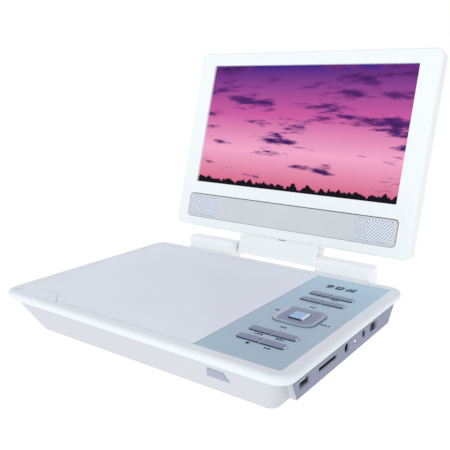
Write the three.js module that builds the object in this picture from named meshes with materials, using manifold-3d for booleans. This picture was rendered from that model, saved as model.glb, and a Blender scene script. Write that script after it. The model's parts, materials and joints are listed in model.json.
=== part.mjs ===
// A portable DVD player: a flat base with a disc lid, a control panel and a row of sockets,
// and a swivelling 10 inch screen on a centre hinge. Millimetres, +Z up, +X right, -Y is the front.
// The base is drawn with its top face at z = 0 and its front edge at y = 0, and is then lifted
// so that the rubber feet stand at z = 0 and the whole player is centred over the origin.

import * as THREE from 'three';
import { mergeVertices } from 'three/addons/utils/BufferGeometryUtils.js';
import { ConvexGeometry } from 'three/addons/geometries/ConvexGeometry.js';
import Module from 'manifold-3d';

const wasm = await Module();
wasm.setup();

// ---- driving dimensions ---------------------------------------------------------------------

const WIDTH = 270; // outer width of the rim
const DEPTH = 195; // outer depth of the rim, front to back
const RIM_THICK = 6.8; // thickness of the bull-nosed rim
const RIM_CORNER = 13; // corner radius of the rim, seen from above
const RIM_NOSE = 2.6; // how far the rounded nose of the rim is eased, in and down
const CASE_BOTTOM = -24.5; // underside of the lower case, below the top face
const FOOT_HEIGHT = 1.5;
const WALL = 2.2; // wall of the lower case
const CASE_TOP = { left: -124, right: 126, front: 3.2, back: 191 }; // lower case under the rim
const CASE_FLOOR = { left: -92, right: 124.6, front: 4.6, back: 188 }; // its underside
const CASE_CORNER = { top: 8, floor: 6.5 }; // corner radii of the lower case

const BORDER = 9.2; // plain rim around the lid and the control panel
const PANEL_LEFT = 59.7; // where the disc lid ends and the control panel begins
const LID_GAP = 0.4; // gap around the lid
const LID_THICK = 2.6;
const LID_BARREL = 2.2; // radius of the round rear edge that the lid turns about
const PANEL_TOP = -0.4; // the control panel lies a little below the rim
const PANEL_THICK = 1;
const SHELF_TOP = -1.5; // floor of the panel recess in the top cover
const SHELF_BOTTOM = -2.7;

const KEY_X = 93.3; // centre line of the keys
const ROCKER = { length: 38, width: 7.4, top: 0.75 };
const ROCKER_ROWS = [142.6, 126.6, 54.1, 38.7]; // y of each rocker, from the back
const DPAD = { y: 89.7, width: 34, depth: 31, corner: 8, top: 0.9 };
const CENTRE_KEY = { width: 12, depth: 12.6, top: 1.5 };

const HINGE_Y = DEPTH + 16; // tilt axis of the screen
const HINGE_Z = 4;
const TILT = THREE.MathUtils.degToRad(16.2); // the screen leans back this far from upright
// The hinge knuckles are boxes with eased edges around the tilt axis.
const KNUCKLE = { inner: 45.6, outer: 102, front: 10.4, back: 6.4, top: 5.8, low: 18, ease: 2.6 };
const AXLE_RADIUS = 1.5;
const BLOCK = { half: 44.2, front: -2.4, back: 12.4, low: 6.4, top: 13.2 };
const SCREEN = { half: 129.8, low: 14, high: 199, front: -2.5, back: 12.5, corner: 7 };
const SPLIT = 4.6; // where the screen's bezel ends and its back shell begins
const LCD = { half: 110.6, low: 61.2, high: 185.6 }; // picture area
const STRIP = { half: 115.8, low: 23.5, high: 48.5, corner: 4 }; // speaker strip
const GRILLE = { inset: 3.2, width: 36, height: 20 }; // the lattice in front of each speaker
const SPEAKER = { width: 38, height: 22, corner: 4, front: 2.4, back: 9.6 };
const SWIVEL_Y = (SCREEN.front + SCREEN.back) / 2; // swivel axis, behind the screen's face

const SPINDLE = { x: -33, y: 97 }; // centre of the disc
const PORT_PLATE = 1.5; // thickness of the plate around the sockets
const PORT = { wall: 131, y: [14, 182], foot: [20.5, 170], z: [-23.3, -9.6], height: -14.7 };

const GAP = 0.3; // gap between neighbouring pieces
const SMOOTH = 20; // sides of a round piece

// ---- shapes ---------------------------------------------------------------------------------

// Turns a closed three.js geometry into a solid that can be joined and cut.
function solid(geometry) {
  geometry.deleteAttribute('uv');
  geometry.deleteAttribute('normal');
  const merged = mergeVertices(geometry, 1e-4);
  const vertProperties = new Float32Array(merged.getAttribute('position').array);
  const triVerts = new Uint32Array(merged.index.array);
  return new wasm.Manifold(new wasm.Mesh({ numProp: 3, vertProperties, triVerts }));
}

// Turns a solid back into a three.js geometry.
function toGeometry(body) {
  const mesh = body.getMesh();
  const geometry = new THREE.BufferGeometry();
  geometry.setAttribute('position', new THREE.BufferAttribute(mesh.vertProperties, 3));
  geometry.setIndex(new THREE.BufferAttribute(mesh.triVerts, 1));
  geometry.computeVertexNormals();
  return geometry;
}

// A box between two corners.
function box(x0, x1, y0, y1, z0, z1) {
  const geometry = new THREE.BoxGeometry(x1 - x0, y1 - y0, z1 - z0);
  geometry.translate((x0 + x1) / 2, (y0 + y1) / 2, (z0 + z1) / 2);
  return solid(geometry);
}

// A cylinder of radius r along X, Y or Z, between two places on that axis.
function rod(axis, r, from, to, a, b, sides = SMOOTH) {
  const geometry = new THREE.CylinderGeometry(r, r, to - from, sides);
  const middle = (from + to) / 2;
  if (axis === 'x') geometry.rotateZ(Math.PI / 2).translate(middle, a, b);
  if (axis === 'y') geometry.translate(a, middle, b);
  if (axis === 'z') geometry.rotateX(Math.PI / 2).translate(a, b, middle);
  return solid(geometry);
}

// The outline of a rectangle with round corners.
function roundRect(x0, x1, y0, y1, r) {
  const shape = new THREE.Shape();
  shape.moveTo(x0 + r, y0);
  shape.lineTo(x1 - r, y0);
  shape.absarc(x1 - r, y0 + r, r, -Math.PI / 2, 0);
  shape.lineTo(x1, y1 - r);
  shape.absarc(x1 - r, y1 - r, r, 0, Math.PI / 2);
  shape.lineTo(x0 + r, y1);
  shape.absarc(x0 + r, y1 - r, r, Math.PI / 2, Math.PI);
  shape.lineTo(x0, y0 + r);
  shape.absarc(x0 + r, y0 + r, r, Math.PI, 1.5 * Math.PI);
  return shape;
}

// An outline raised along Z from z0 to z1. Its edges are eased by `ease` inside that height.
function raise(shape, z0, z1, ease = 0, curveSegments = 5) {
  const geometry = new THREE.ExtrudeGeometry(shape, {
    depth: z1 - z0 - 2 * ease,
    bevelEnabled: ease > 0,
    bevelThickness: ease,
    bevelSize: ease,
    bevelOffset: -ease,
    bevelSegments: ease < 2 ? 1 : 3,
    curveSegments,
  });
  geometry.translate(0, 0, z0 + ease);
  return solid(geometry);
}

// The same for a plate that stands upright, from its front face y0 to its back face y1.
function raiseUpright(shape, y0, y1, ease = 0, curveSegments = 5) {
  return raise(shape, -y1, -y0, ease, curveSegments).rotate([90, 0, 0]);
}

// The convex body between two round-cornered outlines at two heights.
function taper(low, zLow, high, zHigh, rLow, rHigh) {
  const ring = (o, r, z) =>
    roundRect(o.left, o.right, o.front, o.back, r)
      .getPoints(5)
      .map((p) => new THREE.Vector3(p.x, p.y, z));
  return solid(new ConvexGeometry([...ring(low, rLow, zLow), ...ring(high, rHigh, zHigh)]));
}

// Moves every side of an outline inwards.
function inset(o, by) {
  return { left: o.left + by, right: o.right - by, front: o.front + by, back: o.back - by };
}

// An outline drawn from a list of corners.
function polygon(points) {
  return new THREE.Shape(points.map(([x, y]) => new THREE.Vector2(x, y)));
}

// ---- materials ------------------------------------------------------------------------------

const finish = (color, roughness, metalness = 0) => ({ color, roughness, metalness });
const WHITE = finish(0xeef1f6, 0.3);
const LID_WHITE = finish(0xd5dce6, 0.28);
const CASE_WHITE = finish(0xdedfe8, 0.4);
const SILVER_BLUE = finish(0xa0bac8, 0.35, 0.6);
const KEY_BLUE = finish(0x8d99ad, 0.3, 0.4);
const PORT_GREY = finish(0x969bb4, 0.4, 0.2);
const STRIP_GREY = finish(0xd6dade, 0.45);
const BLACK = finish(0x15161a, 0.4);
const STEEL = finish(0xb9bcc2, 0.3, 1);
const RUBBER = finish(0x3a3b40, 0.9);
const BOARD = finish(0x1f5a35, 0.55);
const SCREEN_GLASS = finish(0x4a2358, 0.15);

const player = new THREE.Group();
const base = new THREE.Group();
const screen = new THREE.Group();
player.add(base);
base.add(screen);

// The screen group stands upright with the tilt axis as its x axis, and then leans back.
screen.position.set(0, HINGE_Y, HINGE_Z);
screen.rotation.x = -TILT;

function add(name, body, look, group = base) {
  const mesh = new THREE.Mesh(toGeometry(body), new THREE.MeshStandardMaterial(look));
  mesh.name = name;
  group.add(mesh);
}

// ---- outlines shared by neighbours ----------------------------------------------------------

const lidOutline = {
  left: -WIDTH / 2 + BORDER,
  right: PANEL_LEFT - LID_GAP,
  front: BORDER,
  back: DEPTH - BORDER - 0.6,
};
const panelOutline = {
  left: PANEL_LEFT,
  right: WIDTH / 2 - BORDER,
  front: BORDER,
  back: DEPTH - BORDER - 0.6,
};
const lidAxis = { y: lidOutline.back - LID_BARREL, z: -LID_BARREL };

// The lid's outline, grown by the gap around it: only its front corners are round.
function lidShape(grow) {
  const o = inset(lidOutline, -grow);
  const r = 2.6 + grow;
  const shape = new THREE.Shape();
  shape.moveTo(o.left + r, o.front);
  shape.lineTo(o.right - r, o.front);
  shape.absarc(o.right - r, o.front + r, r, -Math.PI / 2, 0);
  shape.lineTo(o.right, o.back);
  shape.lineTo(o.left, o.back);
  shape.lineTo(o.left, o.front + r);
  shape.absarc(o.left + r, o.front + r, r, Math.PI, 1.5 * Math.PI);
  return shape;
}

// The release key is a trapezium let into the lid's front left corner.
function releaseKeyOutline(grow) {
  return polygon([
    [-126 - grow * 3, 6.4 - grow],
    [-75 + grow * 2.4, 6.4 - grow],
    [-88.4 + grow * 0.42, 19.8 + grow],
    [-108.2 - grow * 0.34, 19.8 + grow],
  ]);
}

const outlineShape = (o, r) => roundRect(o.left, o.right, o.front, o.back, r);
const rockerShape = (y, grow) =>
  roundRect(
    KEY_X - ROCKER.length / 2 - grow,
    KEY_X + ROCKER.length / 2 + grow,
    y - ROCKER.width / 2 - grow,
    y + ROCKER.width / 2 + grow,
    3 + grow / 2,
  );
const dpadShape = (grow) =>
  roundRect(
    KEY_X - DPAD.width / 2 - grow,
    KEY_X + DPAD.width / 2 + grow,
    DPAD.y - DPAD.depth / 2 - grow,
    DPAD.y + DPAD.depth / 2 + grow,
    DPAD.corner + grow,
  );
const centreKeyShape = (grow) =>
  roundRect(
    KEY_X - CENTRE_KEY.width / 2 - grow,
    KEY_X + CENTRE_KEY.width / 2 + grow,
    DPAD.y - CENTRE_KEY.depth / 2 - grow,
    DPAD.y + CENTRE_KEY.depth / 2 + grow,
    1.2 + grow,
  );

// Everything that the keys need open in the panel and in the shelf under it.
function keyApertures(z0, z1) {
  const holes = ROCKER_ROWS.map((y) => raise(rockerShape(y, 0.4), z0, z1, 0, 3));
  holes.push(raise(dpadShape(0.5), z0, z1));
  return wasm.Manifold.union(holes);
}

// ---- base: shells ---------------------------------------------------------------------------

// Sockets and controls on the right side, by the places of their centres.
const USB = { y: 29.6, width: 13.2, height: 5.8 };
const CARD = { y: 61.8, width: 26.2, height: 3 };
const DC = { y: 90.8, radius: 3.5 };
const LED = { y: 105, radius: 1.7 };
const PHONES = { y: 120.6, radius: 3.1 };
const SWITCH = { y: 138.8, width: 12.8, height: 6.4, knob: 7, travel: 4 };

// Cuts every socket opening through the side wall and the port panel.
function portOpenings(x0, x1, grow) {
  const z = PORT.height;
  const slot = (p) => {
    const [w, h] = [p.width / 2 + grow, p.height / 2 + grow];
    return box(x0, x1, p.y - w, p.y + w, z - h, z + h);
  };
  const hole = (p) => rod('x', p.radius + grow, x0, x1, p.y, z, 16);
  return wasm.Manifold.union([slot(USB), slot(CARD), slot(SWITCH), hole(DC), hole(LED), hole(PHONES)]);
}

// The raised block on the right side that carries the sockets, with slanted ends.
function portBlock(x0, x1, shrink) {
  const side = polygon([
    [PORT.y[0] + shrink, PORT.z[1] - shrink],
    [PORT.foot[0] + shrink, PORT.z[0] + shrink],
    [PORT.foot[1] - shrink, PORT.z[0] + shrink],
    [PORT.y[1] - shrink, PORT.z[1] - shrink],
  ]);
  // drawn in (y, z), raised along x
  return raise(side, x0, x1).rotate([90, 0, 90]);
}

const IR = [
  [75, -10.4],
  [87.2, -10.4],
  [92.3, -15.6],
  [75, -15.6],
];
const irWindow = (y0, y1, grow) => {
  const wider = IR.map(([x, z], i) => {
    const onRight = i === 1 || i === 2;
    return [onRight ? x + grow : x - grow, i < 2 ? z + grow : z - grow];
  });
  return raiseUpright(polygon(wider), y0, y1);
};

const footPlaces = [
  [-78, 18],
  [110, 18],
  [-78, 176],
  [110, 176],
];
const screwPlaces = [
  [-60, 12],
  [92, 12],
  [-60, 182],
  [92, 182],
];

{
  const innerFloorZ = CASE_BOTTOM + WALL;
  const { floor, top } = CASE_CORNER;
  const outer = taper(CASE_FLOOR, CASE_BOTTOM, CASE_TOP, -RIM_THICK - GAP, floor, top);
  const innerFloor = inset(CASE_FLOOR, WALL);
  const innerTop = inset(CASE_TOP, WALL + 0.6);
  const inner = taper(innerFloor, innerFloorZ, innerTop, -RIM_THICK, floor - WALL, top - WALL);
  const screwWells = screwPlaces.map(([x, y]) =>
    rod('z', 3.2, CASE_BOTTOM - 1, CASE_BOTTOM + 1.4, x, y, 12),
  );
  const blockBody = portBlock(innerFloor.right, PORT.wall - PORT_PLATE - GAP, 0);
  const hollow = box(60, innerFloor.right, innerFloor.front, innerFloor.back, innerFloorZ, 0);
  add(
    'bottom_case',
    outer
      .subtract(inner)
      .add(blockBody.subtract(hollow))
      .subtract(portOpenings(100, 140, 0.3))
      .subtract(irWindow(2, 9, GAP))
      .subtract(wasm.Manifold.union(screwWells)),
    CASE_WHITE,
  );
}

{
  const rim = roundRect(-WIDTH / 2, WIDTH / 2, 0, DEPTH, RIM_CORNER);
  const lidPocket = raise(lidShape(LID_GAP), -4.7, 1, 0, 3);
  const lidWell = raise(outlineShape(inset(lidOutline, 2.4), 4), -10, 1, 0, 3);
  const panelRecess = raise(outlineShape(inset(panelOutline, -0.15), 2.6), SHELF_TOP, 1, 0, 3);
  const keyPocket = raise(outlineShape(inset(panelOutline, 1.6), 3), -10, SHELF_BOTTOM, 0, 3);
  const pinHoles = [-1, 1].map((side) => {
    const edge = side < 0 ? lidOutline.left : lidOutline.right;
    return rod('x', 1.2, edge - 4, edge + 4, lidAxis.y, lidAxis.z, 12);
  });
  const [front, back] = [BORDER + 4, DEPTH - BORDER - 5];
  const shelfEnd = box(PANEL_LEFT - LID_GAP, PANEL_LEFT - 0.15, front, back, SHELF_TOP, 0);
  add(
    'top_cover',
    raise(rim, -RIM_THICK, 0, RIM_NOSE, 5)
      .subtract(lidPocket)
      .subtract(lidWell)
      .subtract(panelRecess)
      .subtract(shelfEnd)
      .subtract(keyPocket)
      .subtract(keyApertures(-5, 1))
      .subtract(raise(releaseKeyOutline(LID_GAP), -10, 1))
      .subtract(wasm.Manifold.union(pinHoles)),
    WHITE,
  );
}

{
  const well = rod('z', 63, -9.4, 0, SPINDLE.x, SPINDLE.y, 48);
  const plate = raise(outlineShape({ left: -110, right: 55, front: 22.5, back: 182 }, 6), -11, -7.2);
  const hubHole = rod('z', 17, -20, 0, SPINDLE.x, SPINDLE.y, 28);
  const sledSlot = box(SPINDLE.x - 16, SPINDLE.x + 16, SPINDLE.y - 62, SPINDLE.y, -20, 0);
  add('deck_tray', plate.subtract(well).subtract(hubHole).subtract(sledSlot), LID_WHITE);
}

{
  const plate = raise(outlineShape(panelOutline, 2.4), PANEL_TOP - PANEL_THICK, PANEL_TOP, 0, 3);
  add('control_panel', plate.subtract(keyApertures(-5, 1)), SILVER_BLUE);
}

const portPlate = portBlock(PORT.wall - PORT_PLATE, PORT.wall, 0.4);
add('port_panel', portPlate.subtract(portOpenings(100, 140, 0)), PORT_GREY);
add('ir_window', irWindow(3.4, 5.6, 0), PORT_GREY);

// ---- base: sockets --------------------------------------------------------------------------

{
  const z = PORT.height;
  const x1 = PORT.wall - 0.8;
  const shell = box(x1 - 14, x1, USB.y - 6.5, USB.y + 6.5, z - 2.8, z + 2.8);
  const shellBore = box(x1 - 13.4, x1 + 1, USB.y - 6, USB.y + 6, z - 2.4, z + 2.4);
  add('usb_shell', shell.subtract(shellBore), STEEL);
  add('usb_tongue', box(x1 - 13.2, x1 - 1.2, USB.y - 5.4, USB.y + 5.4, z + 0.2, z + 1.9), BLACK);

  const reader = box(x1 - 26, x1, CARD.y - 13, CARD.y + 13, z - 1.4, z + 1.4);
  const cardWay = box(x1 - 24, x1 + 1, CARD.y - 12.2, CARD.y + 12.2, z - 1.1, z + 1.1);
  add('card_slot', reader.subtract(cardWay), BLACK);

  // A barrel inlet is a deep ring with a pin standing in the middle of its floor.
  const inlet = [
    [0, -11],
    [3.4, -11],
    [3.4, 0],
    [2.8, 0],
    [2.8, -9],
    [0.8, -9],
    [0.8, -1.4],
    [0, -1],
  ].map(([r, h]) => new THREE.Vector2(r, h));
  const dc = new THREE.LatheGeometry(inlet, 16).rotateZ(-Math.PI / 2).translate(x1, DC.y, z);
  add('dc_inlet', solid(dc), BLACK);

  const jack = rod('x', 3, x1 - 11, x1, PHONES.y, z, 16);
  const jackBore = rod('x', 1.8, x1 - 10, x1 + 1, PHONES.y, z, 16);
  add('phones_jack', jack.subtract(jackBore), BLACK);
  add('status_led', rod('x', 1.6, x1 - 5, x1 + 1.2, LED.y, z, 12), WHITE);

  const knobY = SWITCH.y - SWITCH.width / 2 + 0.6;
  const knob = box(x1 - 3, x1 + 1.6, knobY, knobY + SWITCH.knob, z - 2.6, z + 2.6);
  const flange = box(x1 - 4.4, x1 - 3, knobY - 0.6, knobY + SWITCH.knob + 0.6, z - 3.2, z + 3.2);
  add('power_knob', knob.add(flange), BLACK);
}

// ---- base: feet and screws ------------------------------------------------------------------

const corners = ['front_left', 'front_right', 'rear_left', 'rear_right'];
footPlaces.forEach(([x, y], i) => {
  const foot = rod('z', 6, CASE_BOTTOM - FOOT_HEIGHT, CASE_BOTTOM - 0.02, x, y, 16);
  add(`foot_${corners[i]}`, foot, RUBBER);
});
screwPlaces.forEach(([x, y], i) => {
  const head = rod('z', 2.7, CASE_BOTTOM + 0.2, CASE_BOTTOM + 1.3, x, y, 12);
  const slot = box(x - 2, x + 2, y - 0.4, y + 0.4, CASE_BOTTOM - 1, CASE_BOTTOM + 0.7);
  add(`case_screw_${corners[i]}`, head.subtract(slot), STEEL);
});

// ---- base: hinge knuckles -------------------------------------------------------------------

['left', 'right'].forEach((side, i) => {
  const sign = i === 0 ? -1 : 1;
  const [x0, x1] = [KNUCKLE.inner, KNUCKLE.outer].map((x) => x * sign).sort((a, b) => a - b);
  const section = roundRect(
    HINGE_Y - KNUCKLE.front,
    HINGE_Y + KNUCKLE.back,
    HINGE_Z - KNUCKLE.low,
    HINGE_Z + KNUCKLE.top,
    KNUCKLE.ease * 1.6,
  );
  const housing = raise(section, x0, x1, KNUCKLE.ease, 5).rotate([90, 0, 90]);
  const [in0, in1] = [x0 + KNUCKLE.ease, x1 - KNUCKLE.ease];
  const saddle = box(in0, in1, DEPTH + GAP, HINGE_Y, -13, -1);
  const tongue = box(in0, in1, CASE_TOP.back + 0.6, DEPTH + 2, -13, -RIM_THICK - GAP);
  const [b0, b1] = sign < 0 ? [x0 + 8, x1 + 1] : [x0 - 1, x1 - 8];
  const bore = rod('x', AXLE_RADIUS + GAP, b0, b1, HINGE_Y, HINGE_Z, 16);
  add(`hinge_cover_${side}`, housing.add(saddle).add(tongue).subtract(bore), WHITE);
});

// ---- base: boards, battery and disc drive ---------------------------------------------------

add('main_board', box(66, 100, 20, 176, -20.4, -18.8).add(box(66, 92, 30, 60, -18.8, -16.4)), BOARD);
add('key_board', raise(outlineShape(inset(panelOutline, 3), 2), -6.7, -5.5), BOARD);
add('battery_pack', raise(roundRect(2, 60, 14, 180, 4), -21.6, -12.4), BLACK);

{
  const plate = box(-80, -4, 26, 156, -13.6, -12.4);
  const sledWindow = box(SPINDLE.x - 17, SPINDLE.x + 17, 29, SPINDLE.y + 16, -20, 0);
  const motorWindow = box(SPINDLE.x + 15, SPINDLE.x + 27.5, 106, 130, -20, 0);
  const rails = [-80, -6].map((x) => box(x, x + 2, 26, 156, -19, -13));
  const ends = [26, 154].map((y) => box(-80, -4, y, y + 2, -19, -13));
  const frame = wasm.Manifold.union([plate.subtract(sledWindow).subtract(motorWindow), ...rails, ...ends]);
  const rodSeat = rod('y', 1.9, 20, 160, SPINDLE.x - 22, -16.2, 12);
  const screwSeat = rod('y', 1.9, 20, 160, SPINDLE.x + 22, -16.2, 12);
  add('drive_chassis', frame.subtract(rodSeat).subtract(screwSeat), STEEL);
  add('guide_rod', rod('y', 1.5, 27, 102, SPINDLE.x - 22, -16.2, 12), STEEL);
  add('spindle_motor', rod('z', 13, -20.6, -13.8, SPINDLE.x, SPINDLE.y, 24), STEEL);
  add('sled_motor', rod('y', 4.6, 108, 128, SPINDLE.x + 22, -17, 14), STEEL);
}

{
  // Turntable: a platter with the hub that the disc snaps on to.
  const profile = [
    [0, -13.4],
    [4, -13.4],
    [4, -9.6],
    [15, -9.6],
    [15, -6.4],
    [7.3, -6.4],
    [7.3, -4.2],
    [5.6, -3.4],
    [0, -3.4],
  ].map(([r, z]) => new THREE.Vector2(r, z));
  const hub = new THREE.LatheGeometry(profile, 28).rotateX(Math.PI / 2);
  add('turntable', solid(hub.translate(SPINDLE.x, SPINDLE.y, 0)), BLACK);

  const carriage = box(SPINDLE.x - 25, SPINDLE.x + 25, 60, 78, -18.6, -14);
  const neck = box(SPINDLE.x - 12, SPINDLE.x + 12, 60, 78, -14, -11.3);
  const lens = rod('z', 3.2, -11.3, -10.4, SPINDLE.x, 69, 16);
  const rodBore = rod('y', 1.8, 50, 90, SPINDLE.x - 22, -16.2, 12);
  const screwBore = rod('y', 1.8, 50, 90, SPINDLE.x + 22, -16.2, 12);
  add('pickup_sled', carriage.add(neck).add(lens).subtract(rodBore).subtract(screwBore), BLACK);
  add('lead_screw', rod('y', 1.5, 27, 107, SPINDLE.x + 22, -16.2, 12), STEEL);
}

// ---- disc lid and its release ---------------------------------------------------------------

{
  const span = (x0, x1, points) => raise(polygon(points), x0, x1).rotate([90, 0, 90]);
  const flat = span(lidOutline.left, lidOutline.right, [
    [lidOutline.front, -LID_THICK],
    [lidAxis.y, -LID_THICK],
    [lidAxis.y, 0],
    [lidOutline.front, 0],
  ]);
  const barrel = rod('x', LID_BARREL, lidOutline.left, lidOutline.right, lidAxis.y, lidAxis.z, 24);
  const outline = raise(lidShape(0), -8, 1, 0, 3);
  const lip = raise(outlineShape(inset(lidOutline, 12), 6), -3.8, -LID_THICK, 0, 3);
  const lipHole = raise(outlineShape(inset(lidOutline, 14), 5), -5, -2, 0, 3);
  const pinBores = [lidOutline.left, lidOutline.right].map((x) =>
    rod('x', 1.1, x - 6, x + 6, lidAxis.y, lidAxis.z, 12),
  );
  add(
    'disc_lid',
    flat
      .add(barrel)
      .intersect(outline)
      .add(lip.subtract(lipHole).subtract(raise(releaseKeyOutline(3), -8, 1)))
      .subtract(raise(releaseKeyOutline(LID_GAP), -8, 1))
      .subtract(wasm.Manifold.union(pinBores)),
    LID_WHITE,
  );
  const pin = (x0, x1) => rod('x', 0.8, x0, x1, lidAxis.y, lidAxis.z, 12);
  add('lid_pin_left', pin(lidOutline.left - 3, lidOutline.left + 5), STEEL);
  add('lid_pin_right', pin(lidOutline.right - 5, lidOutline.right + 3), STEEL);
  const keyTop = raise(releaseKeyOutline(0), -3.2, -0.1, 0.4);
  const stem = box(-110, -86, 11, 16, -7.4, -3.2);
  add('release_key', keyTop.add(stem), LID_WHITE);
}

// ---- keys -----------------------------------------------------------------------------------

ROCKER_ROWS.forEach((y, i) => {
  const cap = raise(rockerShape(y, 0), -3.5, ROCKER.top, 0.8, 3);
  const flange = raise(rockerShape(y, 1), -4.2, -3.5, 0, 3);
  const notch = rod('y', 0.7, y - 5, y + 5, KEY_X, ROCKER.top + 0.3, 8);
  add(`rocker_${i + 1}`, cap.add(flange).subtract(notch), KEY_BLUE);
});

{
  const hole = raise(centreKeyShape(0.6), -6, 2, 0, 3);
  const dish = raise(centreKeyShape(3), 0.3, 2, 0, 3);
  const cap = raise(dpadShape(0), -3.5, DPAD.top, 0.8);
  const flange = raise(dpadShape(1), -4.2, -3.5);
  add('dpad', cap.add(flange).subtract(dish).subtract(hole), KEY_BLUE);
  add('centre_key', raise(centreKeyShape(0), -4.2, CENTRE_KEY.top, 0.5, 3), KEY_BLUE);
  const dome = raise(centreKeyShape(5), -5.1, -4.6, 0, 3);
  add('dpad_dome', dome.subtract(raise(centreKeyShape(1), -6, -4, 0, 3)), RUBBER);
}

// ---- centre hinge block ---------------------------------------------------------------------

{
  const b = BLOCK;
  const section = new THREE.Shape();
  section.moveTo(b.front, b.top);
  section.lineTo(b.front, -2);
  section.quadraticCurveTo(b.front, -b.low, b.front + 4, -b.low);
  section.lineTo(b.back - 6, -b.low);
  section.quadraticCurveTo(b.back, -b.low, b.back, 1);
  section.lineTo(b.back, b.top);
  const whole = raise(section, -b.half, b.half, 0.6, 5).rotate([90, 0, 90]);
  const x = b.half - 2.4;
  const inner = box(-x, x, b.front + 2.2, b.back - 2.2, -b.low + 2.2, b.top - 2.2);
  const neck = rod('z', 4, 0, b.top + 2, 0, SWIVEL_Y, 24);
  const axleBore = rod('x', AXLE_RADIUS + GAP, -60, 60, 0, 0, 16);
  const shell = whole.subtract(inner).subtract(neck).subtract(axleBore);
  const parting = SWIVEL_Y;
  const frontHalf = box(-60, 60, -20, parting - GAP / 2, -20, 30);
  const backHalf = box(-60, 60, parting + GAP / 2, 40, -20, 30);
  add('hinge_block_front', shell.intersect(frontHalf), WHITE, screen);
  add('hinge_block_back', shell.intersect(backHalf), WHITE, screen);
  const plate = box(-28, 28, 1.2, SWIVEL_Y + 4.8, 3.2, 5.6);
  const ears = [-28, 25].map((x) => box(x, x + 3, 0.2, 8, -3, 4));
  const hole = rod('z', 3.9, -10, 20, 0, SWIVEL_Y, 24);
  add('hinge_bracket', wasm.Manifold.union([plate, ...ears]).subtract(hole), STEEL, screen);
  add('hinge_axle_left', rod('x', AXLE_RADIUS, -84, -30, 0, 0, 16), STEEL, screen);
  add('hinge_axle_right', rod('x', AXLE_RADIUS, 30, 84, 0, 0, 16), STEEL, screen);
  const collar = [
    [0, 1],
    [4.8, 1],
    [4.8, 2.6],
    [3.6, 2.6],
    [3.6, 16.9],
    [4.9, 16.9],
    [4.9, 18.9],
    [2, 18.9],
    [2, 3],
    [0, 3],
  ].map(([r, z]) => new THREE.Vector2(r, z));
  const shaft = new THREE.LatheGeometry(collar, 24).rotateX(Math.PI / 2);
  add('swivel_shaft', solid(shaft.translate(0, SWIVEL_Y, 0)), STEEL, screen);
}

// ---- screen ---------------------------------------------------------------------------------

{
  const s = SCREEN;
  const face = roundRect(-s.half, s.half, s.low, s.high, s.corner);
  const cavity = roundRect(-s.half + 2.4, s.half - 2.4, s.low + 2.4, s.high - 2.4, s.corner - 2);
  const window = roundRect(-LCD.half, LCD.half, LCD.low, LCD.high, 0.6);
  const recess = roundRect(-STRIP.half, STRIP.half, STRIP.low, STRIP.high, STRIP.corner);
  const shaftHole = rod('z', 4, 0, 22, 0, SWIVEL_Y, 24);
  const grilles = [-1, 1].map((side) => {
    const x = side * (STRIP.half - GRILLE.inset - GRILLE.width / 2);
    const z = (STRIP.low + STRIP.high) / 2;
    return { x, z };
  });
  const patch = (g, width, height, r) =>
    roundRect(g.x - width / 2, g.x + width / 2, g.z - height / 2, g.z + height / 2, r);
  const grilleShape = (g, grow) => patch(g, GRILLE.width + 2 * grow, GRILLE.height + 2 * grow, 3);
  const grilleHoles = (y0, y1, grow) =>
    wasm.Manifold.union(grilles.map((g) => raiseUpright(grilleShape(g, grow), y0, y1, 0, 3)));

  const bezel = raiseUpright(face, s.front, SPLIT + 3, 2, 6)
    .intersect(box(-200, 200, -20, SPLIT, 0, 300))
    .subtract(raiseUpright(cavity, s.front + 2.4, SPLIT + 5))
    .add(raiseUpright(recess, s.front + 1.6, s.front + 3.4))
    .subtract(raiseUpright(window, -10, 10, 0, 2))
    .subtract(raiseUpright(recess, s.front - 2, s.front + 1.9, 0, 4))
    .subtract(grilleHoles(-5, 5, 0.4))
    .subtract(shaftHole);
  add('screen_bezel', bezel, WHITE, screen);

  const back = raiseUpright(face, SPLIT - 3, s.back, 2.6, 6)
    .intersect(box(-200, 200, SPLIT + GAP, 40, 0, 300))
    .subtract(raiseUpright(cavity, SPLIT - 4, s.back - 2.4))
    .subtract(shaftHole);
  add('screen_back', back, WHITE, screen);

  const lcd = roundRect(-LCD.half - 2.4, LCD.half + 2.4, LCD.low - 2, LCD.high + 2, 1);
  add('lcd_panel', raiseUpright(lcd, s.front + 2.7, s.front + 7, 0, 2), SCREEN_GLASS, screen);

  const sx = STRIP.half - GAP;
  const strip = roundRect(-sx, sx, STRIP.low + GAP, STRIP.high - GAP, STRIP.corner - GAP);
  const stripPlate = raiseUpright(strip, s.front + 0.5, s.front + 1.6, 0, 4);
  add('speaker_strip', stripPlate.subtract(grilleHoles(-5, 5, 0.4)), STRIP_GREY, screen);
  ['left', 'right'].forEach((side, i) => {
    const mesh = raiseUpright(grilleShape(grilles[i], 0), s.front + 0.6, s.front + 1.6, 0, 3);
    add(`grille_${side}`, mesh, WHITE, screen);
    const driver = patch(grilles[i], SPEAKER.width, SPEAKER.height, SPEAKER.corner);
    add(`speaker_${side}`, raiseUpright(driver, SPEAKER.front, SPEAKER.back, 0, 3), BLACK, screen);
  });
  const board = box(-86, 86, 6.4, 7.8, 70, 130);
  const chip = box(-30, -6, 7.8, 9.4, 84, 104);
  add('display_board', board.add(chip), BOARD, screen);
}

// ---- stand the player on its feet -----------------------------------------------------------

// The furthest point back is the rear edge of the leaning screen's top.
const lean = (y, z) => HINGE_Y + y * Math.cos(TILT) + z * Math.sin(TILT);
const REAR = lean(SCREEN.back, SCREEN.high - 2.6);
player.position.set(0, -REAR / 2, -CASE_BOTTOM + FOOT_HEIGHT);

export default player;
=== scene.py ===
# %% [markdown]
# # A portable DVD player
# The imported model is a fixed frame: a flat base with a disc lid, a control panel and a row of
# sockets, and a screen on a centre hinge. Every piece made here rides on one of its bodies.

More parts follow.
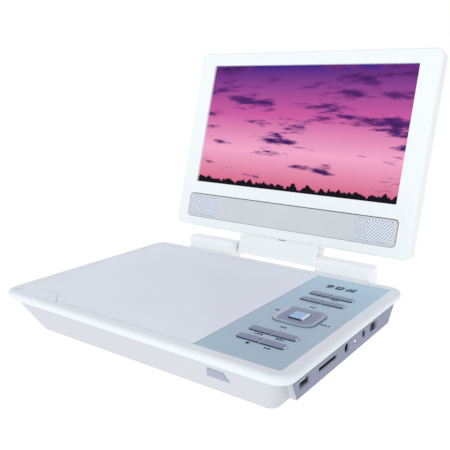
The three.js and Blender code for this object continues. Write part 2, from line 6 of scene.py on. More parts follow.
# %% Load the frame
import json
import math

import bmesh
import bpy
import numpy as np
from mathutils import Matrix, Vector
from mathutils.geometry import tessellate_polygon

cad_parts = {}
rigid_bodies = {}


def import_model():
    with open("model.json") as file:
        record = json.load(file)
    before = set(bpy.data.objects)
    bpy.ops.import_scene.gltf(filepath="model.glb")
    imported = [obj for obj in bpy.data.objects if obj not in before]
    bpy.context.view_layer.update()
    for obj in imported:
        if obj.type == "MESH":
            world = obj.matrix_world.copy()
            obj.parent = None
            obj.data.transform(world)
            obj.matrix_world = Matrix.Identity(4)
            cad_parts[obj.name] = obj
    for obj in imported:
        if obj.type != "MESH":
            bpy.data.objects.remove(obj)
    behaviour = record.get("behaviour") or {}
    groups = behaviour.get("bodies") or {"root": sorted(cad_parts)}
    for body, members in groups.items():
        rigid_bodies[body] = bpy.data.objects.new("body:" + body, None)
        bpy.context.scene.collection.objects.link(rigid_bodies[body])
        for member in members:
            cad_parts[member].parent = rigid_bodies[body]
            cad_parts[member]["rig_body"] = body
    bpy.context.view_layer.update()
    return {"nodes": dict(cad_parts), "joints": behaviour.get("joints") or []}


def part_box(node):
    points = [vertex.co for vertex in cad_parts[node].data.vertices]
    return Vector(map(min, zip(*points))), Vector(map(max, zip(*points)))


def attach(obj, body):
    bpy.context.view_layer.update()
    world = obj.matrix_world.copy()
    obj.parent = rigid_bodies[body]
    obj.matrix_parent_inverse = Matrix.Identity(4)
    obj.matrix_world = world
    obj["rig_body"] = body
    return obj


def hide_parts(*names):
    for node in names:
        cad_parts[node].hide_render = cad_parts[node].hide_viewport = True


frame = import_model()

# %% [markdown]
# ## Two rulers
# A maker measures the base from its front edge and its top face, and the screen from the hinge,
# up its own slope. Two functions turn such millimetres into the frame's metres. The screen's
# ruler comes from its joints: the tilt joint gives the corner, the swivel axis runs up the screen.

# %% Rulers for the base and for the leaning screen
MM = 0.001
rim_low, rim_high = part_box("top_cover")
joints = {joint["name"]: joint for joint in frame["joints"]}


def on_base(points):
    """Millimetres right of the middle, back from the front edge and up from the top face."""
    return np.asarray(points, float) * MM + (0.0, rim_low.y, rim_high.z)


hinge_point = np.array(joints["screen_tilt"]["pos_m"])
right = np.array((1.0, 0.0, 0.0))
up = np.array(joints["screen_swivel"]["axis"])
rearward = np.cross(up, right)


def on_screen(points):
    """Millimetres right, rearward and up the screen, measured from the tilt axis."""
    return hinge_point + np.asarray(points, float) @ np.array((right, rearward, up)) * MM


print("screen leans back", round(math.degrees(math.asin(up[1])), 1), "degrees")

# %% [markdown]
# ## Outlines
# Moulded parts are rounded polygons seen from above, from the front or from the side. One
# function rounds any polygon's corners, and one moves an outline inwards by the mitre rule, so
# that a rounded edge is a stack of the same outline moved in a little at each height.

# %% Outlines with round corners
CORNER_STEPS = 8


def unit(vectors):
    return vectors / np.linalg.norm(vectors, axis=-1, keepdims=True)


def rounded(corners, radius, steps=CORNER_STEPS):
    """A closed outline whose corners are arcs.

    A circle of radius r touches both sides of a corner of angle 2h at r / tan(h) from it, and
    its centre lies r / sin(h) along the bisector. The arc runs between the two touching points.
    """
    corners = np.asarray(corners, float)
    radius = np.broadcast_to(np.asarray(radius, float), len(corners))[:, None]
    back = unit(np.roll(corners, 1, 0) - corners)
    ahead = unit(np.roll(corners, -1, 0) - corners)
    half = np.arccos(np.clip((back * ahead).sum(1), -1, 1))[:, None] / 2
    centre = corners + unit(back + ahead) * radius / np.sin(half)
    start = corners + back * radius / np.tan(half) - centre
    end = corners + ahead * radius / np.tan(half) - centre
    turn = (np.pi - 2 * half)[:, None]
    t = np.linspace(0, 1, steps + 1)[None, :, None]
    arcs = np.sin((1 - t) * turn) * start[:, None] + np.sin(t * turn) * end[:, None]
    return (centre[:, None] + arcs / np.sin(turn)).reshape(-1, 2)


def oblong(x0, x1, y0, y1, radius, steps=CORNER_STEPS):
    """A rectangle with round corners, anticlockwise from its front left."""
    return rounded([(x0, y0), (x1, y0), (x1, y1), (x0, y1)], radius, steps)


def centred(x, y, width, depth, radius, steps=CORNER_STEPS):
    """The same, by its centre and size."""
    return oblong(x - width / 2, x + width / 2, y - depth / 2, y + depth / 2, radius, steps)


def ring_of(x, y, radius, steps=32):
    """A circle: the centre plus the radius times (cos a, sin a)."""
    a = np.linspace(0, 2 * np.pi, steps, endpoint=False)
    return np.column_stack([x + radius * np.cos(a), y + radius * np.sin(a)])


def subdivide(outline, longest):
    """Long straight sides cut into parts no longer than `longest`."""
    ahead = np.roll(outline, -1, 0)
    parts = np.maximum(1, np.ceil(np.linalg.norm(ahead - outline, axis=1) / longest)).astype(int)
    start = np.repeat(outline, parts, axis=0)
    side = np.repeat(ahead - outline, parts, axis=0)
    first = np.repeat(np.cumsum(parts) - parts, parts)
    share = (np.arange(len(start)) - first) / np.repeat(parts, parts)
    return start + side * share[:, None]


def shrink(outline, by):
    """Every side moved inwards by the same distance.

    A corner between sides with inward normals n and m moves by (n + m) / (1 + n.m) times that.
    """
    before = unit(outline - np.roll(outline, 1, 0))
    after = unit(np.roll(outline, -1, 0) - outline)
    n = np.column_stack([-before[:, 1], before[:, 0]])
    m = np.column_stack([-after[:, 1], after[:, 0]])
    return outline + by * (n + m) / (1 + (n * m).sum(1, keepdims=True))


print("a rounded square has", len(centred(0, 0, 10, 10, 2)), "points")

# %% [markdown]
# ## From outlines to closed surfaces
# A moulded part could be a cube with a Bevel modifier, but its edges differ: a thick nose on the
# rim, a hairline round a key. So each part is a stack of rings joined by quads, closed by flat
# caps. A cap may have openings, and it is then cut into triangles.

# %% A surface made of rings
class Surface:
    """Rings of points, the walls between them and the caps over them."""

    def __init__(self):
        self.points, self.faces, self.count = [], [], 0

    def ring(self, outline, depth):
        """Lays an outline at one depth, or at one depth for each of its points."""
        self.points.append(np.column_stack([outline, np.broadcast_to(depth, len(outline))]))
        self.count += len(outline)
        return np.arange(self.count - len(outline), self.count)

    def wall(self, rings):
        """Quads from each ring to the next: point i, point i + 1 and their two partners."""
        for a, b in zip(rings, rings[1:]):
            self.faces += np.column_stack([a, np.roll(a, -1), np.roll(b, -1), b]).tolist()

    def eased(self, outline, profile, way=1):
        """One ring for each (inset, depth) of a profile; `way` is -1 to move outwards instead."""
        return [self.ring(shrink(outline, way * inset), depth) for inset, depth in profile]

    def closed(self, rings):
        """Walls between the rings, and a cap on the first and on the last."""
        self.wall(rings)
        self.cap(rings[0])
        self.cap(rings[-1])

    def cap(self, outer, holes=()):
        """A flat face over a ring, less any rings inside it."""
        if not holes:
            self.faces.append(outer.tolist())
            return
        points, loops = np.vstack(self.points), [outer, *holes]
        numbers = np.concatenate(loops)
        flat = [[Vector((*points[i, :2], 0)) for i in loop] for loop in loops]
        self.faces += [[int(numbers[k]) for k in tri] for tri in tessellate_polygon(flat)]


def quarter(radius, side, face, steps=5):
    """(inset, depth) along a quarter circle, from the side of a part to its face."""
    a = np.linspace(0, np.pi / 2, steps + 1)
    return list(zip(radius * (1 - np.cos(a)), side + (face - side) * np.sin(a)))


def slab(outline, low, high, ease_low, ease_high, openings=(), opening_ease=0.2, surface=None):
    """A plate between two depths with quarter-round edges and eased openings through it."""
    s = surface or Surface()
    profile = quarter(ease_low, low + ease_low, low)[::-1] + quarter(ease_high, high - ease_high, high)
    rings = s.eased(outline, profile)
    s.wall(rings)
    lows, highs = [], []
    for opening in openings:
        lip = quarter(opening_ease, high - opening_ease, high, 3)
        bore = [s.ring(opening, low)] + s.eased(opening, lip, -1)
        s.wall(bore)
        lows.append(bore[0])
        highs.append(bore[-1])
    s.cap(rings[0], lows)
    s.cap(rings[-1], highs)
    return s


# %% [markdown]
# ## From surfaces to pieces
# An outline is drawn lying flat, standing upright or seen from the side. `make_piece` lays it
# the right way, merges the points that meet, turns every face outwards, and marks edges sharper
# than a set angle, so that long curves shade smoothly and flat faces stay flat.

# %% Turn a surface into a piece on a body
WAYS = {"flat": [0, 1, 2], "upright": [0, 2, 1], "sideways": [2, 0, 1]}
SAME_POINT = 2e-6
made = []


def finish_mesh(obj, body, material, stands_for, crease):
    bm = bmesh.new()
    bm.from_mesh(obj.data)
    bmesh.ops.remove_doubles(bm, verts=bm.verts, dist=SAME_POINT)
    bmesh.ops.recalc_face_normals(bm, faces=bm.faces)
    bm.to_mesh(obj.data)
    bm.free()
    obj.data.shade_smooth()
    obj.data.set_sharp_from_angle(angle=math.radians(crease))
    bpy.context.scene.collection.objects.link(obj)
    obj.data.materials.clear()
    obj.data.materials.append(material)
    weighted = obj.modifiers.new("even_shading", "WEIGHTED_NORMAL")
    weighted.keep_sharp = True
    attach(obj, body)
    if stands_for:
        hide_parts(*stands_for)
    made.append(obj)
    return obj


def make_piece(name, surface, material, body, way="flat", place=on_base,
               stands_for=(), crease=35):
    points = place(np.vstack(surface.points)[:, WAYS[way]])
    mesh = bpy.data.meshes.new(name)
    mesh.from_pydata(points.tolist(), [], surface.faces)
    obj = bpy.data.objects.new(name, mesh)
    return finish_mesh(obj, body, material, stands_for, crease)


def eased_copy(node, material, width, name=None):
    """A CAD piece with its edges rounded: its triangles are joined, then a Bevel modifier works."""
    source = frame["nodes"][node]
    obj = bpy.data.objects.new(name or node + "_eased", source.data.copy())
    bm = bmesh.new()
    bm.from_mesh(obj.data)
    bmesh.ops.remove_doubles(bm, verts=bm.verts, dist=SAME_POINT)
    bmesh.ops.dissolve_limit(bm, angle_limit=math.radians(1), verts=bm.verts, edges=bm.edges)
    bm.to_mesh(obj.data)
    bm.free()
    finish_mesh(obj, source["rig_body"], material, [node], 30)
    bevel = obj.modifiers.new("eased_edges", "BEVEL")
    bevel.width = width * MM
    bevel.segments = 3
    bevel.limit_method = "ANGLE"
    bevel.angle_limit = math.radians(32)
    bevel.use_clamp_overlap = True
    obj.modifiers.move(1, 0)
    return obj


# %% [markdown]
# ## Finishes
# Moulded plastic is never one flat colour: its tone wanders a little over centimetres, its gloss
# changes with the polish of the mould, and a fine grain catches the light. `moulded` builds that
# from three noises on Object coordinates. Colours are written as a display shows them, 0 to 255.

# %% Material helpers and moulded plastic
def shown(red, green, blue):
    """Display colour, 0 to 255, as the linear light that a shader wants."""
    c = np.array([red, green, blue]) / 255
    linear = np.where(c <= 0.04045, c / 12.92, ((c + 0.055) / 1.055) ** 2.4)
    return (*linear.tolist(), 1.0)


def add(tree, kind, inputs=None, **settings):
    """A node with its settings and inputs: an input is a value or another node's socket."""
    node = tree.nodes.new("ShaderNode" + kind)
    for key, value in settings.items():
        setattr(node, key, value)
    for key, value in (inputs or {}).items():
        if isinstance(value, bpy.types.NodeSocket):
            tree.links.new(value, node.inputs[key])
        else:
            node.inputs[key].default_value = value
    return node


def new_finish(name):
    material = bpy.data.materials.new(name)
    material.use_nodes = True
    tree = material.node_tree
    return material, tree, tree.nodes["Principled BSDF"]


def grain(tree, size, detail=2.0, stretch=(1, 1, 1)):
    """Noise whose blotches are about `size` millimetres, longer along an axis with a big stretch."""
    where = add(tree, "TexCoord").outputs["Object"]
    scale = [1 / (size * MM * s) for s in stretch]
    placed = add(tree, "Mapping", {"Vector": where, "Scale": scale})
    noise = add(tree, "TexNoise", {"Vector": placed.outputs[0], "Scale": 1.0, "Detail": detail})
    return noise.outputs["Fac"]


def blend_colours(tree, factor, first, second):
    mix = add(tree, "Mix", {"Factor": factor}, data_type="RGBA")
    for socket, value in ((mix.inputs[6], first), (mix.inputs[7], second)):
        if isinstance(value, bpy.types.NodeSocket):
            tree.links.new(value, socket)
        else:
            socket.default_value = value
    return mix.outputs[2]


def between(tree, factor, low, high, start=0.3, end=0.7):
    """A factor stretched from the range start..end to low..high."""
    limits = {"From Min": start, "From Max": end, "To Min": low, "To Max": high}
    return add(tree, "MapRange", {"Value": factor, **limits}).outputs[0]


def moulded(name, colour, roughness, wander=0.03, grain_size=0.35, height=0.004, coat=0.0,
            metallic=0.0):
    """Plastic: tone wanders over 50 mm, gloss over 8 mm, and a grain `height` mm deep."""
    material, tree, shader = new_finish(name)
    base = np.array(shown(*colour))
    darker = (*(base[:3] * (1 - wander)).tolist(), 1.0)
    lighter = (*(base[:3] * (1 + wander)).clip(0, 1).tolist(), 1.0)
    tone = between(tree, grain(tree, 50, 3), 0, 1)
    tree.links.new(blend_colours(tree, tone, darker, lighter), shader.inputs["Base Color"])
    gloss = between(tree, grain(tree, 12, 2), roughness * 0.95, roughness * 1.05)
    tree.links.new(gloss, shader.inputs["Roughness"])
    shader.inputs["Metallic"].default_value = metallic
    shader.inputs["Coat Weight"].default_value = coat
    shader.inputs["Coat Roughness"].default_value = 0.08
    bump = add(tree, "Bump", {"Height": grain(tree, grain_size, 2), "Strength": 0.6,
                              "Distance": height * MM})
    tree.links.new(bump.outputs[0], shader.inputs["Normal"])
    return material


white_gloss = moulded("white_gloss", (233, 238, 240), 0.3, 0.006, 1.5, 0.0004, 0.1)
screen_white = moulded("screen_white", (246, 250, 249), 0.3, 0.005, 1.5, 0.0004, 0.1)
hinge_white = moulded("hinge_white", (254, 255, 255), 0.3, 0.005, 1.5, 0.0004, 0.1)
window_grey = moulded("window_grey", (168, 174, 192), 0.3, 0.02, 0.8, 0.001)
lid_gloss = moulded("lid_gloss", (233, 240, 246), 0.38, 0.008, 1.5, 0.0006, 0.1)
case_white = moulded("case_white", (210, 212, 217), 0.45, 0.01, 1.2, 0.001)
port_grey = moulded("port_grey", (140, 145, 171), 0.42, 0.03, 0.8, 0.002, metallic=0.15)
strip_grey = moulded("strip_grey", (214, 218, 220), 0.5, 0.02, 0.9, 0.004)
black_plastic = moulded("black_plastic", (26, 27, 31), 0.38, 0.15, 0.8, 0.003)
rubber_grey = moulded("rubber_grey", (62, 63, 69), 0.85, 0.12, 0.6, 0.04)
knob_grey = moulded("knob_grey", (50, 48, 60), 0.5, 0.08, 0.4, 0.012)
led_white = moulded("led_white", (244, 246, 250), 0.2, 0.01, 0.5, 0.002, 0.4)
print("moulded finishes ready")

# %% [markdown]
# ## Brushed and plated finishes
# The control panel is thin aluminium, brushed from side to side and tinted blue: noise stretched
# forty times along X gives its lines, and painted light makes it lighter and bluer towards the back.
# The keys are plated plastic with painted light: their sides are painted in shade, and painted
# highlights sit where light would catch them. An `edge` value stored on each point tells the
# material where the painted shade goes, and a second value where the painted highlights go.

# %% Brushed panel, plated keys, bare steel
panel_low, panel_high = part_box("control_panel")


def brushed(name, front_colour, rear_colour, roughness, metallic, line=0.12, height=0.004):
    material, tree, shader = new_finish(name)
    where = add(tree, "SeparateXYZ", {0: add(tree, "TexCoord").outputs["Object"]})
    # Painted light: the plate's colour runs from the front colour to a lighter, bluer rear colour, as
    # light falls on it.
    depth = between(tree, where.outputs["Y"], 0, 1, panel_low.y, panel_high.y)
    painted_light_gradient = blend_colours(tree, depth, shown(*front_colour), shown(*rear_colour))
    lines = grain(tree, line, 3, (40, 1, 1))
    streak = blend_colours(tree, between(tree, lines, 0, 1), (0.94, 0.94, 0.95, 1), (1, 1, 1, 1))
    multiply = add(tree, "Mix", {"Factor": 1.0}, data_type="RGBA", blend_type="MULTIPLY")
    tree.links.new(painted_light_gradient, multiply.inputs[6])
    tree.links.new(streak, multiply.inputs[7])
    tree.links.new(multiply.outputs[2], shader.inputs["Base Color"])
    rough = between(tree, lines, roughness * 0.8, roughness * 1.25)
    tree.links.new(rough, shader.inputs["Roughness"])
    shader.inputs["Metallic"].default_value = metallic
    bump = add(tree, "Bump", {"Height": lines, "Strength": 0.5, "Distance": height * MM})
    tree.links.new(bump.outputs[0], shader.inputs["Normal"])
    return material


def plated_with_painted_light(name, top_colour, side_shade_colour, highlight_colour, roughness=0.25, metallic=0.55):
    """Three tones: painted shade where `edge` is 1 down the sides, and painted highlight where the other
    value is 1.
    """
    material, tree, shader = new_finish(name)
    edge = add(tree, "Attribute", attribute_name="edge").outputs["Fac"]
    mottle = blend_colours(tree, between(tree, grain(tree, 3, 4), 0, 1),
                           shown(*(np.array(top_colour) * 0.97)), shown(*top_colour))
    # Painted shade: the sides take the darker colour. Painted highlight: the bright colour where the
    # second value is high.
    side_shaded = blend_colours(tree, edge, mottle, shown(*side_shade_colour))
    painted_highlight = add(tree, "Attribute", attribute_name="painted_highlight").outputs["Fac"]
    tree.links.new(blend_colours(tree, painted_highlight, side_shaded, shown(*highlight_colour)), shader.inputs["Base Color"])
    rough = between(tree, grain(tree, 1.5, 3), roughness * 0.8, roughness * 1.2)
    tree.links.new(rough, shader.inputs["Roughness"])
    shader.inputs["Metallic"].default_value = metallic
    bump = add(tree, "Bump", {"Height": grain(tree, 0.6, 2), "Strength": 0.4, "Distance": 0.001 * MM})
    tree.links.new(bump.outputs[0], shader.inputs["Normal"])
    return material


# The panel's rear colour is lighter and bluer than its front: painted light falling on the plate.
silver_blue = brushed("silver_blue", (179, 208, 217), (189, 219, 236), 0.42, 0.25)
# Each key finish: its top colour, a darker colour painted on the sides as shade, and a bright colour for
# painted highlights.
key_blue = plated_with_painted_light("key_blue", (142, 160, 182), (56, 62, 84), (232, 242, 250), 0.35, 0.2)
key_bright = plated_with_painted_light("key_bright", (168, 212, 246), (66, 72, 96), (250, 252, 255), 0.45, 0.1)
steel = brushed("steel", (176, 178, 184), (176, 178, 184), 0.3, 0.95, 0.2)
print("metal finishes ready")

# %% [markdown]
# ## Small finishes
# The circuit boards are green lacquer over copper tracks, seen only with the lid open: a brick
# pattern makes straight tracks and a Voronoi pattern the solder points. The cloth behind the
# speaker lattice is a fine weave, two crossed waves. Printed marks are matt ink.

# %% Circuit board, speaker cloth and ink
def board_finish():
    material, tree, shader = new_finish("circuit_board")
    where = add(tree, "TexCoord").outputs["Object"]
    tracks = add(tree, "TexBrick", {"Vector": where, "Scale": 260.0, "Mortar Size": 0.05,
                                    "Color1": (0, 0, 0, 1), "Color2": (0.1, 0.1, 0.1, 1),
                                    "Mortar": (1, 1, 1, 1)})
    solder = add(tree, "TexVoronoi", {"Vector": where, "Scale": 420.0})
    spots = between(tree, solder.outputs["Distance"], 1, 0, 0.12, 0.2)
    lacquer = blend_colours(tree, tracks.outputs["Color"], shown(31, 90, 53), shown(70, 128, 78))
    tree.links.new(blend_colours(tree, spots, lacquer, shown(190, 192, 196)), shader.inputs["Base Color"])
    tree.links.new(between(tree, grain(tree, 2, 3), 0.35, 0.55), shader.inputs["Roughness"])
    bump = add(tree, "Bump", {"Height": tracks.outputs["Fac"], "Strength": 0.6, "Distance": 0.05 * MM})
    tree.links.new(bump.outputs[0], shader.inputs["Normal"])
    return material


def cloth_finish():
    material, tree, shader = new_finish("speaker_cloth")
    where = add(tree, "TexCoord").outputs["Object"]
    threads = [add(tree, "TexWave", {"Vector": where, "Scale": 400.0, "Distortion": 0.6},
                   bands_direction=axis).outputs["Fac"] for axis in ("X", "Z")]
    weave = add(tree, "Math", {0: threads[0], 1: threads[1]}, operation="MULTIPLY").outputs[0]
    tree.links.new(blend_colours(tree, weave, shown(186, 189, 208), shown(214, 218, 232)),
                   shader.inputs["Base Color"])
    shader.inputs["Roughness"].default_value = 0.9
    bump = add(tree, "Bump", {"Height": weave, "Strength": 0.8, "Distance": 0.1 * MM})
    tree.links.new(bump.outputs[0], shader.inputs["Normal"])
    return material


circuit_board = board_finish()
speaker_cloth = cloth_finish()
lattice_white = moulded("lattice_white", (238, 242, 250), 0.45, 0.02, 0.4, 0.006)
ink_dark = moulded("ink_dark", (20, 24, 36), 0.7, 0.1, 0.3, 0.003)
ink_faint = moulded("ink_faint", (96, 108, 130), 0.7, 0.1, 0.3, 0.003)
ink_grey = moulded("ink_grey", (36, 40, 54), 0.7, 0.15, 0.3, 0.003)
print("small finishes ready")

# %% [markdown]
# ## The picture on the screen
# A lit display needs some picture, and any real one would be somebody's. This one is a plain dusk
# sky that stands for no place: four colours from the ground up, clouds wherever a noise is high,
# and a ragged line of trees. Nodes work it out on the panel's own UV map, so it needs no image.

# %% An evening sky made of nodes
DUSK = [(0.0, (214, 96, 132)), (0.3, (246, 170, 204)), (0.6, (208, 92, 164)), (1.0, (62, 32, 134))]
CLOUD_SIZE = (3.5, 8.0, 1.0)


def picture_finish():
    """Dusk colours by height; cloud where noise, plus a little for height, passes a threshold."""
    material, tree, shader = new_finish("lcd_picture")
    place = add(tree, "UVMap", uv_map="picture").outputs[0]
    parts = add(tree, "SeparateXYZ", {0: place})
    ramp = add(tree, "ValToRGB", {0: parts.outputs["Y"]})
    stops = ramp.color_ramp.elements
    for stop, (position, colour) in zip((stops[0], stops[1]), (DUSK[0], DUSK[-1])):
        stop.position, stop.color = position, shown(*colour)
    for position, colour in DUSK[1:-1]:
        stops.new(position).color = shown(*colour)

    drift = add(tree, "Mapping", {"Vector": place, "Scale": CLOUD_SIZE})
    vapour = add(tree, "TexNoise", {"Vector": drift.outputs[0], "Scale": 1.0, "Detail": 9.0,
                                    "Roughness": 0.6}).outputs["Fac"]
    more_above = between(tree, parts.outputs["Y"], -0.03, 0.06, 0, 1)
    cover = add(tree, "Math", {0: vapour, 1: more_above}, operation="ADD").outputs[0]
    depth = between(tree, vapour, 0, 1, 0.52, 0.7)
    shade = blend_colours(tree, depth, shown(118, 46, 130), shown(34, 16, 86))
    sky = blend_colours(tree, between(tree, cover, 0, 1, 0.54, 0.62), ramp.outputs[0], shade)

    along = add(tree, "Math", {0: parts.outputs["X"], 1: 26.0}, operation="MULTIPLY").outputs[0]
    crowns = add(tree, "TexNoise", {"W": along, "Scale": 1.0, "Detail": 4.0}, noise_dimensions="1D")
    treeline = between(tree, crowns.outputs["Fac"], 0.02, 0.07, 0.3, 0.72)
    over = add(tree, "Math", {0: parts.outputs["Y"], 1: treeline}, operation="SUBTRACT").outputs[0]
    sky = blend_colours(tree, between(tree, over, 1, 0, -0.004, 0.004), sky, shown(14, 8, 22))
    tree.links.new(sky, shader.inputs["Emission Color"])
    shader.inputs["Emission Strength"].default_value = 0.97
    shader.inputs["Base Color"].default_value = (0.004, 0.004, 0.005, 1)
    shader.inputs["Specular IOR Level"].default_value = 0.1
    shader.inputs["IOR"].default_value = 1.25
    tree.links.new(between(tree, grain(tree, 6, 3), 0.16, 0.22), shader.inputs["Roughness"])
    return material


lcd_picture = picture_finish()
print("the sky has", len(lcd_picture.node_tree.nodes), "nodes")

# %% [markdown]
# ## The rim
# The top cover is a bull-nosed frame: its edge is a half round, top and bottom. One opening
# takes both the disc lid and the control panel, and steps out at the front left round the lid's
# release key.

# %% Rim frame and the seat under the lid
WIDTH, DEPTH, RIM_THICK, RIM_CORNER, RIM_NOSE = 270, 195, 6.8, 13, 2.6
BORDER, PANEL_LEFT, LID_GAP, PANEL_TOP = 9.2, 59.7, 0.4, -0.4
LID_LEFT, LID_RIGHT, LID_BACK = -125.8, 59.3, 185.2
PANEL_RIGHT = WIDTH / 2 - BORDER
KEY_CORNERS = np.array([(-126, 6.4), (-75, 6.4), (-88.4, 19.8), (-108.2, 19.8)])
SMALL = 0.05


def release_corners(grow):
    """The release key's four corners, moved apart by the same gap all round."""
    return shrink(KEY_CORNERS, -grow)


def opening_outline(right_edge, grow, radius):
    """The lid's opening, with the release key's notch in its front side."""
    front, notch = BORDER - grow, release_corners(grow)
    slope = [notch[0] + (notch[3] - notch[0]) * (front - notch[0][1]) / (notch[3][1] - notch[0][1]),
             notch[1] + (notch[2] - notch[1]) * (front - notch[1][1]) / (notch[2][1] - notch[1][1])]
    left, back = LID_LEFT - grow, LID_BACK + grow
    corners = [(left, front), slope[0], notch[0], notch[1], slope[1], (right_edge, front),
               (right_edge, back), (left, back)]
    corners[1] = (max(slope[0][0], left + radius + 0.2), front)
    radii = [radius, SMALL, 0.3, 0.3, SMALL, radius if right_edge > 100 else SMALL,
             radius if right_edge > 100 else SMALL, SMALL]
    return rounded(corners, radii, 5)


rim = slab(centred(0, DEPTH / 2, WIDTH, DEPTH, RIM_CORNER, 12), -RIM_THICK, 0, RIM_NOSE, RIM_NOSE,
           [opening_outline(PANEL_RIGHT + 0.15, LID_GAP, 2.6)], 0.25)
rim_piece = make_piece("rim_frame", rim, white_gloss, "base",
                       stands_for=["top_cover"])

seat_outline = opening_outline(PANEL_LEFT - 0.1, LID_GAP + 0.2, 2.6)
seat_well = oblong(LID_LEFT + 2.4, LID_RIGHT - 2.4, 21.6, LID_BACK - 2.4, 4)
seat = slab(seat_outline, -RIM_THICK, -4.7, SMALL, SMALL, [seat_well], 0.4)
make_piece("lid_seat", seat, white_gloss, "base")
print("rim frame:", len(rim_piece.data.polygons), "faces")

# %% [markdown]
# ## The control panel
# A thin brushed plate lies on a shelf of the moulding, 0.4 mm below the rim. Each key comes up
# through its own opening, so the plate is one slab with five of them, and the shelf below
# is a shallow tray with the same openings a little larger.

# %% Panel plate and its shelf
KEY_X = 93.3
ROCKER_ROWS, ROCKER_LENGTH, ROCKER_WIDTH = [142.6, 126.6, 54.1, 38.7], 38, 7.4
DPAD_Y, DPAD_WIDTH, DPAD_DEPTH, DPAD_CORNER = 89.7, 34, 31, 8


def key_openings(grow):
    rows = [centred(KEY_X, y, ROCKER_LENGTH + 2 * grow, ROCKER_WIDTH + 2 * grow, 3 + grow / 2)
            for y in ROCKER_ROWS]
    return rows + [centred(KEY_X, DPAD_Y, DPAD_WIDTH + 2 * grow, DPAD_DEPTH + 2 * grow,
                           DPAD_CORNER + grow)]


plate = slab(oblong(PANEL_LEFT - 0.25, PANEL_RIGHT, BORDER, LID_BACK, 2.4), PANEL_TOP - 1, PANEL_TOP,
             SMALL, 0.15, key_openings(0.4), 0.15)
make_piece("panel_plate", plate, silver_blue, "base",
           stands_for=["control_panel"])

shelf = Surface()
tray = oblong(PANEL_LEFT - 0.2, PANEL_RIGHT + 0.35, BORDER - 0.4, LID_BACK + 0.4, 2.6)
outside = [shelf.ring(tray, z) for z in (-RIM_THICK, -1.5)]
inside = [shelf.ring(shrink(tray, 1.7), z) for z in (-RIM_THICK, -2.7)]
shelf.wall(outside)
shelf.wall(inside)
shelf.cap(outside[0], [inside[0]])
bores = [[shelf.ring(opening, z) for z in (-2.7, -1.5)] for opening in key_openings(0.45)]
for bore in bores:
    shelf.wall(bore)
shelf.cap(outside[1], [bore[1] for bore in bores])
shelf.cap(inside[1], [bore[0] for bore in bores])
make_piece("panel_shelf", shelf, white_gloss, "base")
print("panel plate and shelf have", len(bores), "openings")

# %% [markdown]
# ## Keys
# A rocker is a long cap with rounded ends and a dimple in the middle that tells the two halves
# apart. Its rings run right round, so their long sides are cut into short parts: a height
# formula can then sink the dimple where x is near the middle.

# %% Rockers
def mark_edges(obj, top, fade, highlight_formula):
    """Stores `edge`, 0 at the top and 1 from `fade` millimetres below it, for painted shade down the
    sides, and a value for painted highlights.

    The last argument is a formula of x, y and z in millimetres that gives the painted highlight for every
    point.
    """
    co = np.empty(len(obj.data.vertices) * 3)
    obj.data.vertices.foreach_get("co", co)
    x, y, z = ((co.reshape(-1, 3) - on_base((0, 0, 0))) / MM).T
    for name, value in (("edge", (top - z) / fade), ("painted_highlight", highlight_formula(x, y, z))):
        value = np.clip(value, 0, 1).astype(np.float32)
        obj.data.attributes.new(name, "FLOAT", "POINT").data.foreach_set("value", value)


ROCKER_TOP, ROCKER_EASE = 0.45, 0.5
CAP_FOOT, CAP_SKIRT = -4.2, -3.5


def dimple(outline):
    """0.5 times exp(-(d / 0.75) squared), where d is how far a point is from the middle."""
    return 0.5 * np.exp(-(((outline[:, 0] - KEY_X) / 0.75) ** 2))


for number, row in enumerate(ROCKER_ROWS, 1):
    s = Surface()
    cap = subdivide(centred(KEY_X, row, ROCKER_LENGTH, ROCKER_WIDTH, 3), 0.7)
    flange = shrink(cap, -1)
    rings = [s.ring(flange, CAP_FOOT), s.ring(flange, CAP_SKIRT), s.ring(cap, CAP_SKIRT)]
    crown = [(2.0, ROCKER_TOP + 0.05), (2.9, ROCKER_TOP + 0.08)]
    for inset, z in quarter(ROCKER_EASE, ROCKER_TOP - ROCKER_EASE, ROCKER_TOP) + crown:
        outline = shrink(cap, inset)
        rings.append(s.ring(outline, z - dimple(outline) * (z > ROCKER_TOP - 0.45)))
    spine = outline * (1, 0.02) + (0, outline.mean(0)[1] * 0.98)
    rings.append(s.ring(spine, ROCKER_TOP + 0.1 - dimple(spine)))
    s.closed(rings)
    rocker = make_piece(f"rocker_cap_{number}", s, key_blue, f"rocker_{number}",
                        stands_for=[f"rocker_{number}"], crease=50)
    half = ROCKER_LENGTH / 2
    # Painted light: shade down the sides, and painted highlights on the right end, the left end and by
    # the dimple.
    mark_edges(rocker, ROCKER_TOP - 0.02, 0.3, lambda x, y, z: (
        (x > KEY_X + half - 1.6) * (z < ROCKER_TOP) * (z > -0.4) * (y > row - 2.4) * 0.9
        + (x < KEY_X - half + 0.9) * (z < ROCKER_TOP) * (z > -0.2) * (y > row - 1.5) * 0.6
        + (np.abs(x - KEY_X) < 0.5) * (z > -0.3) * (z < ROCKER_TOP - 0.2) * (y > row - 3.5) * 0.9))
print("rockers:", len(ROCKER_ROWS), "of", len(rocker.data.polygons), "faces")

# %% [markdown]
# ## The four-way pad
# One plate tips in four directions. Its raised lip slopes inwards to a flat floor, and a square
# key stands in the middle. The lip is what catches the light, so it is modelled in its
# true section: up, round the edge, down the slope, and level.

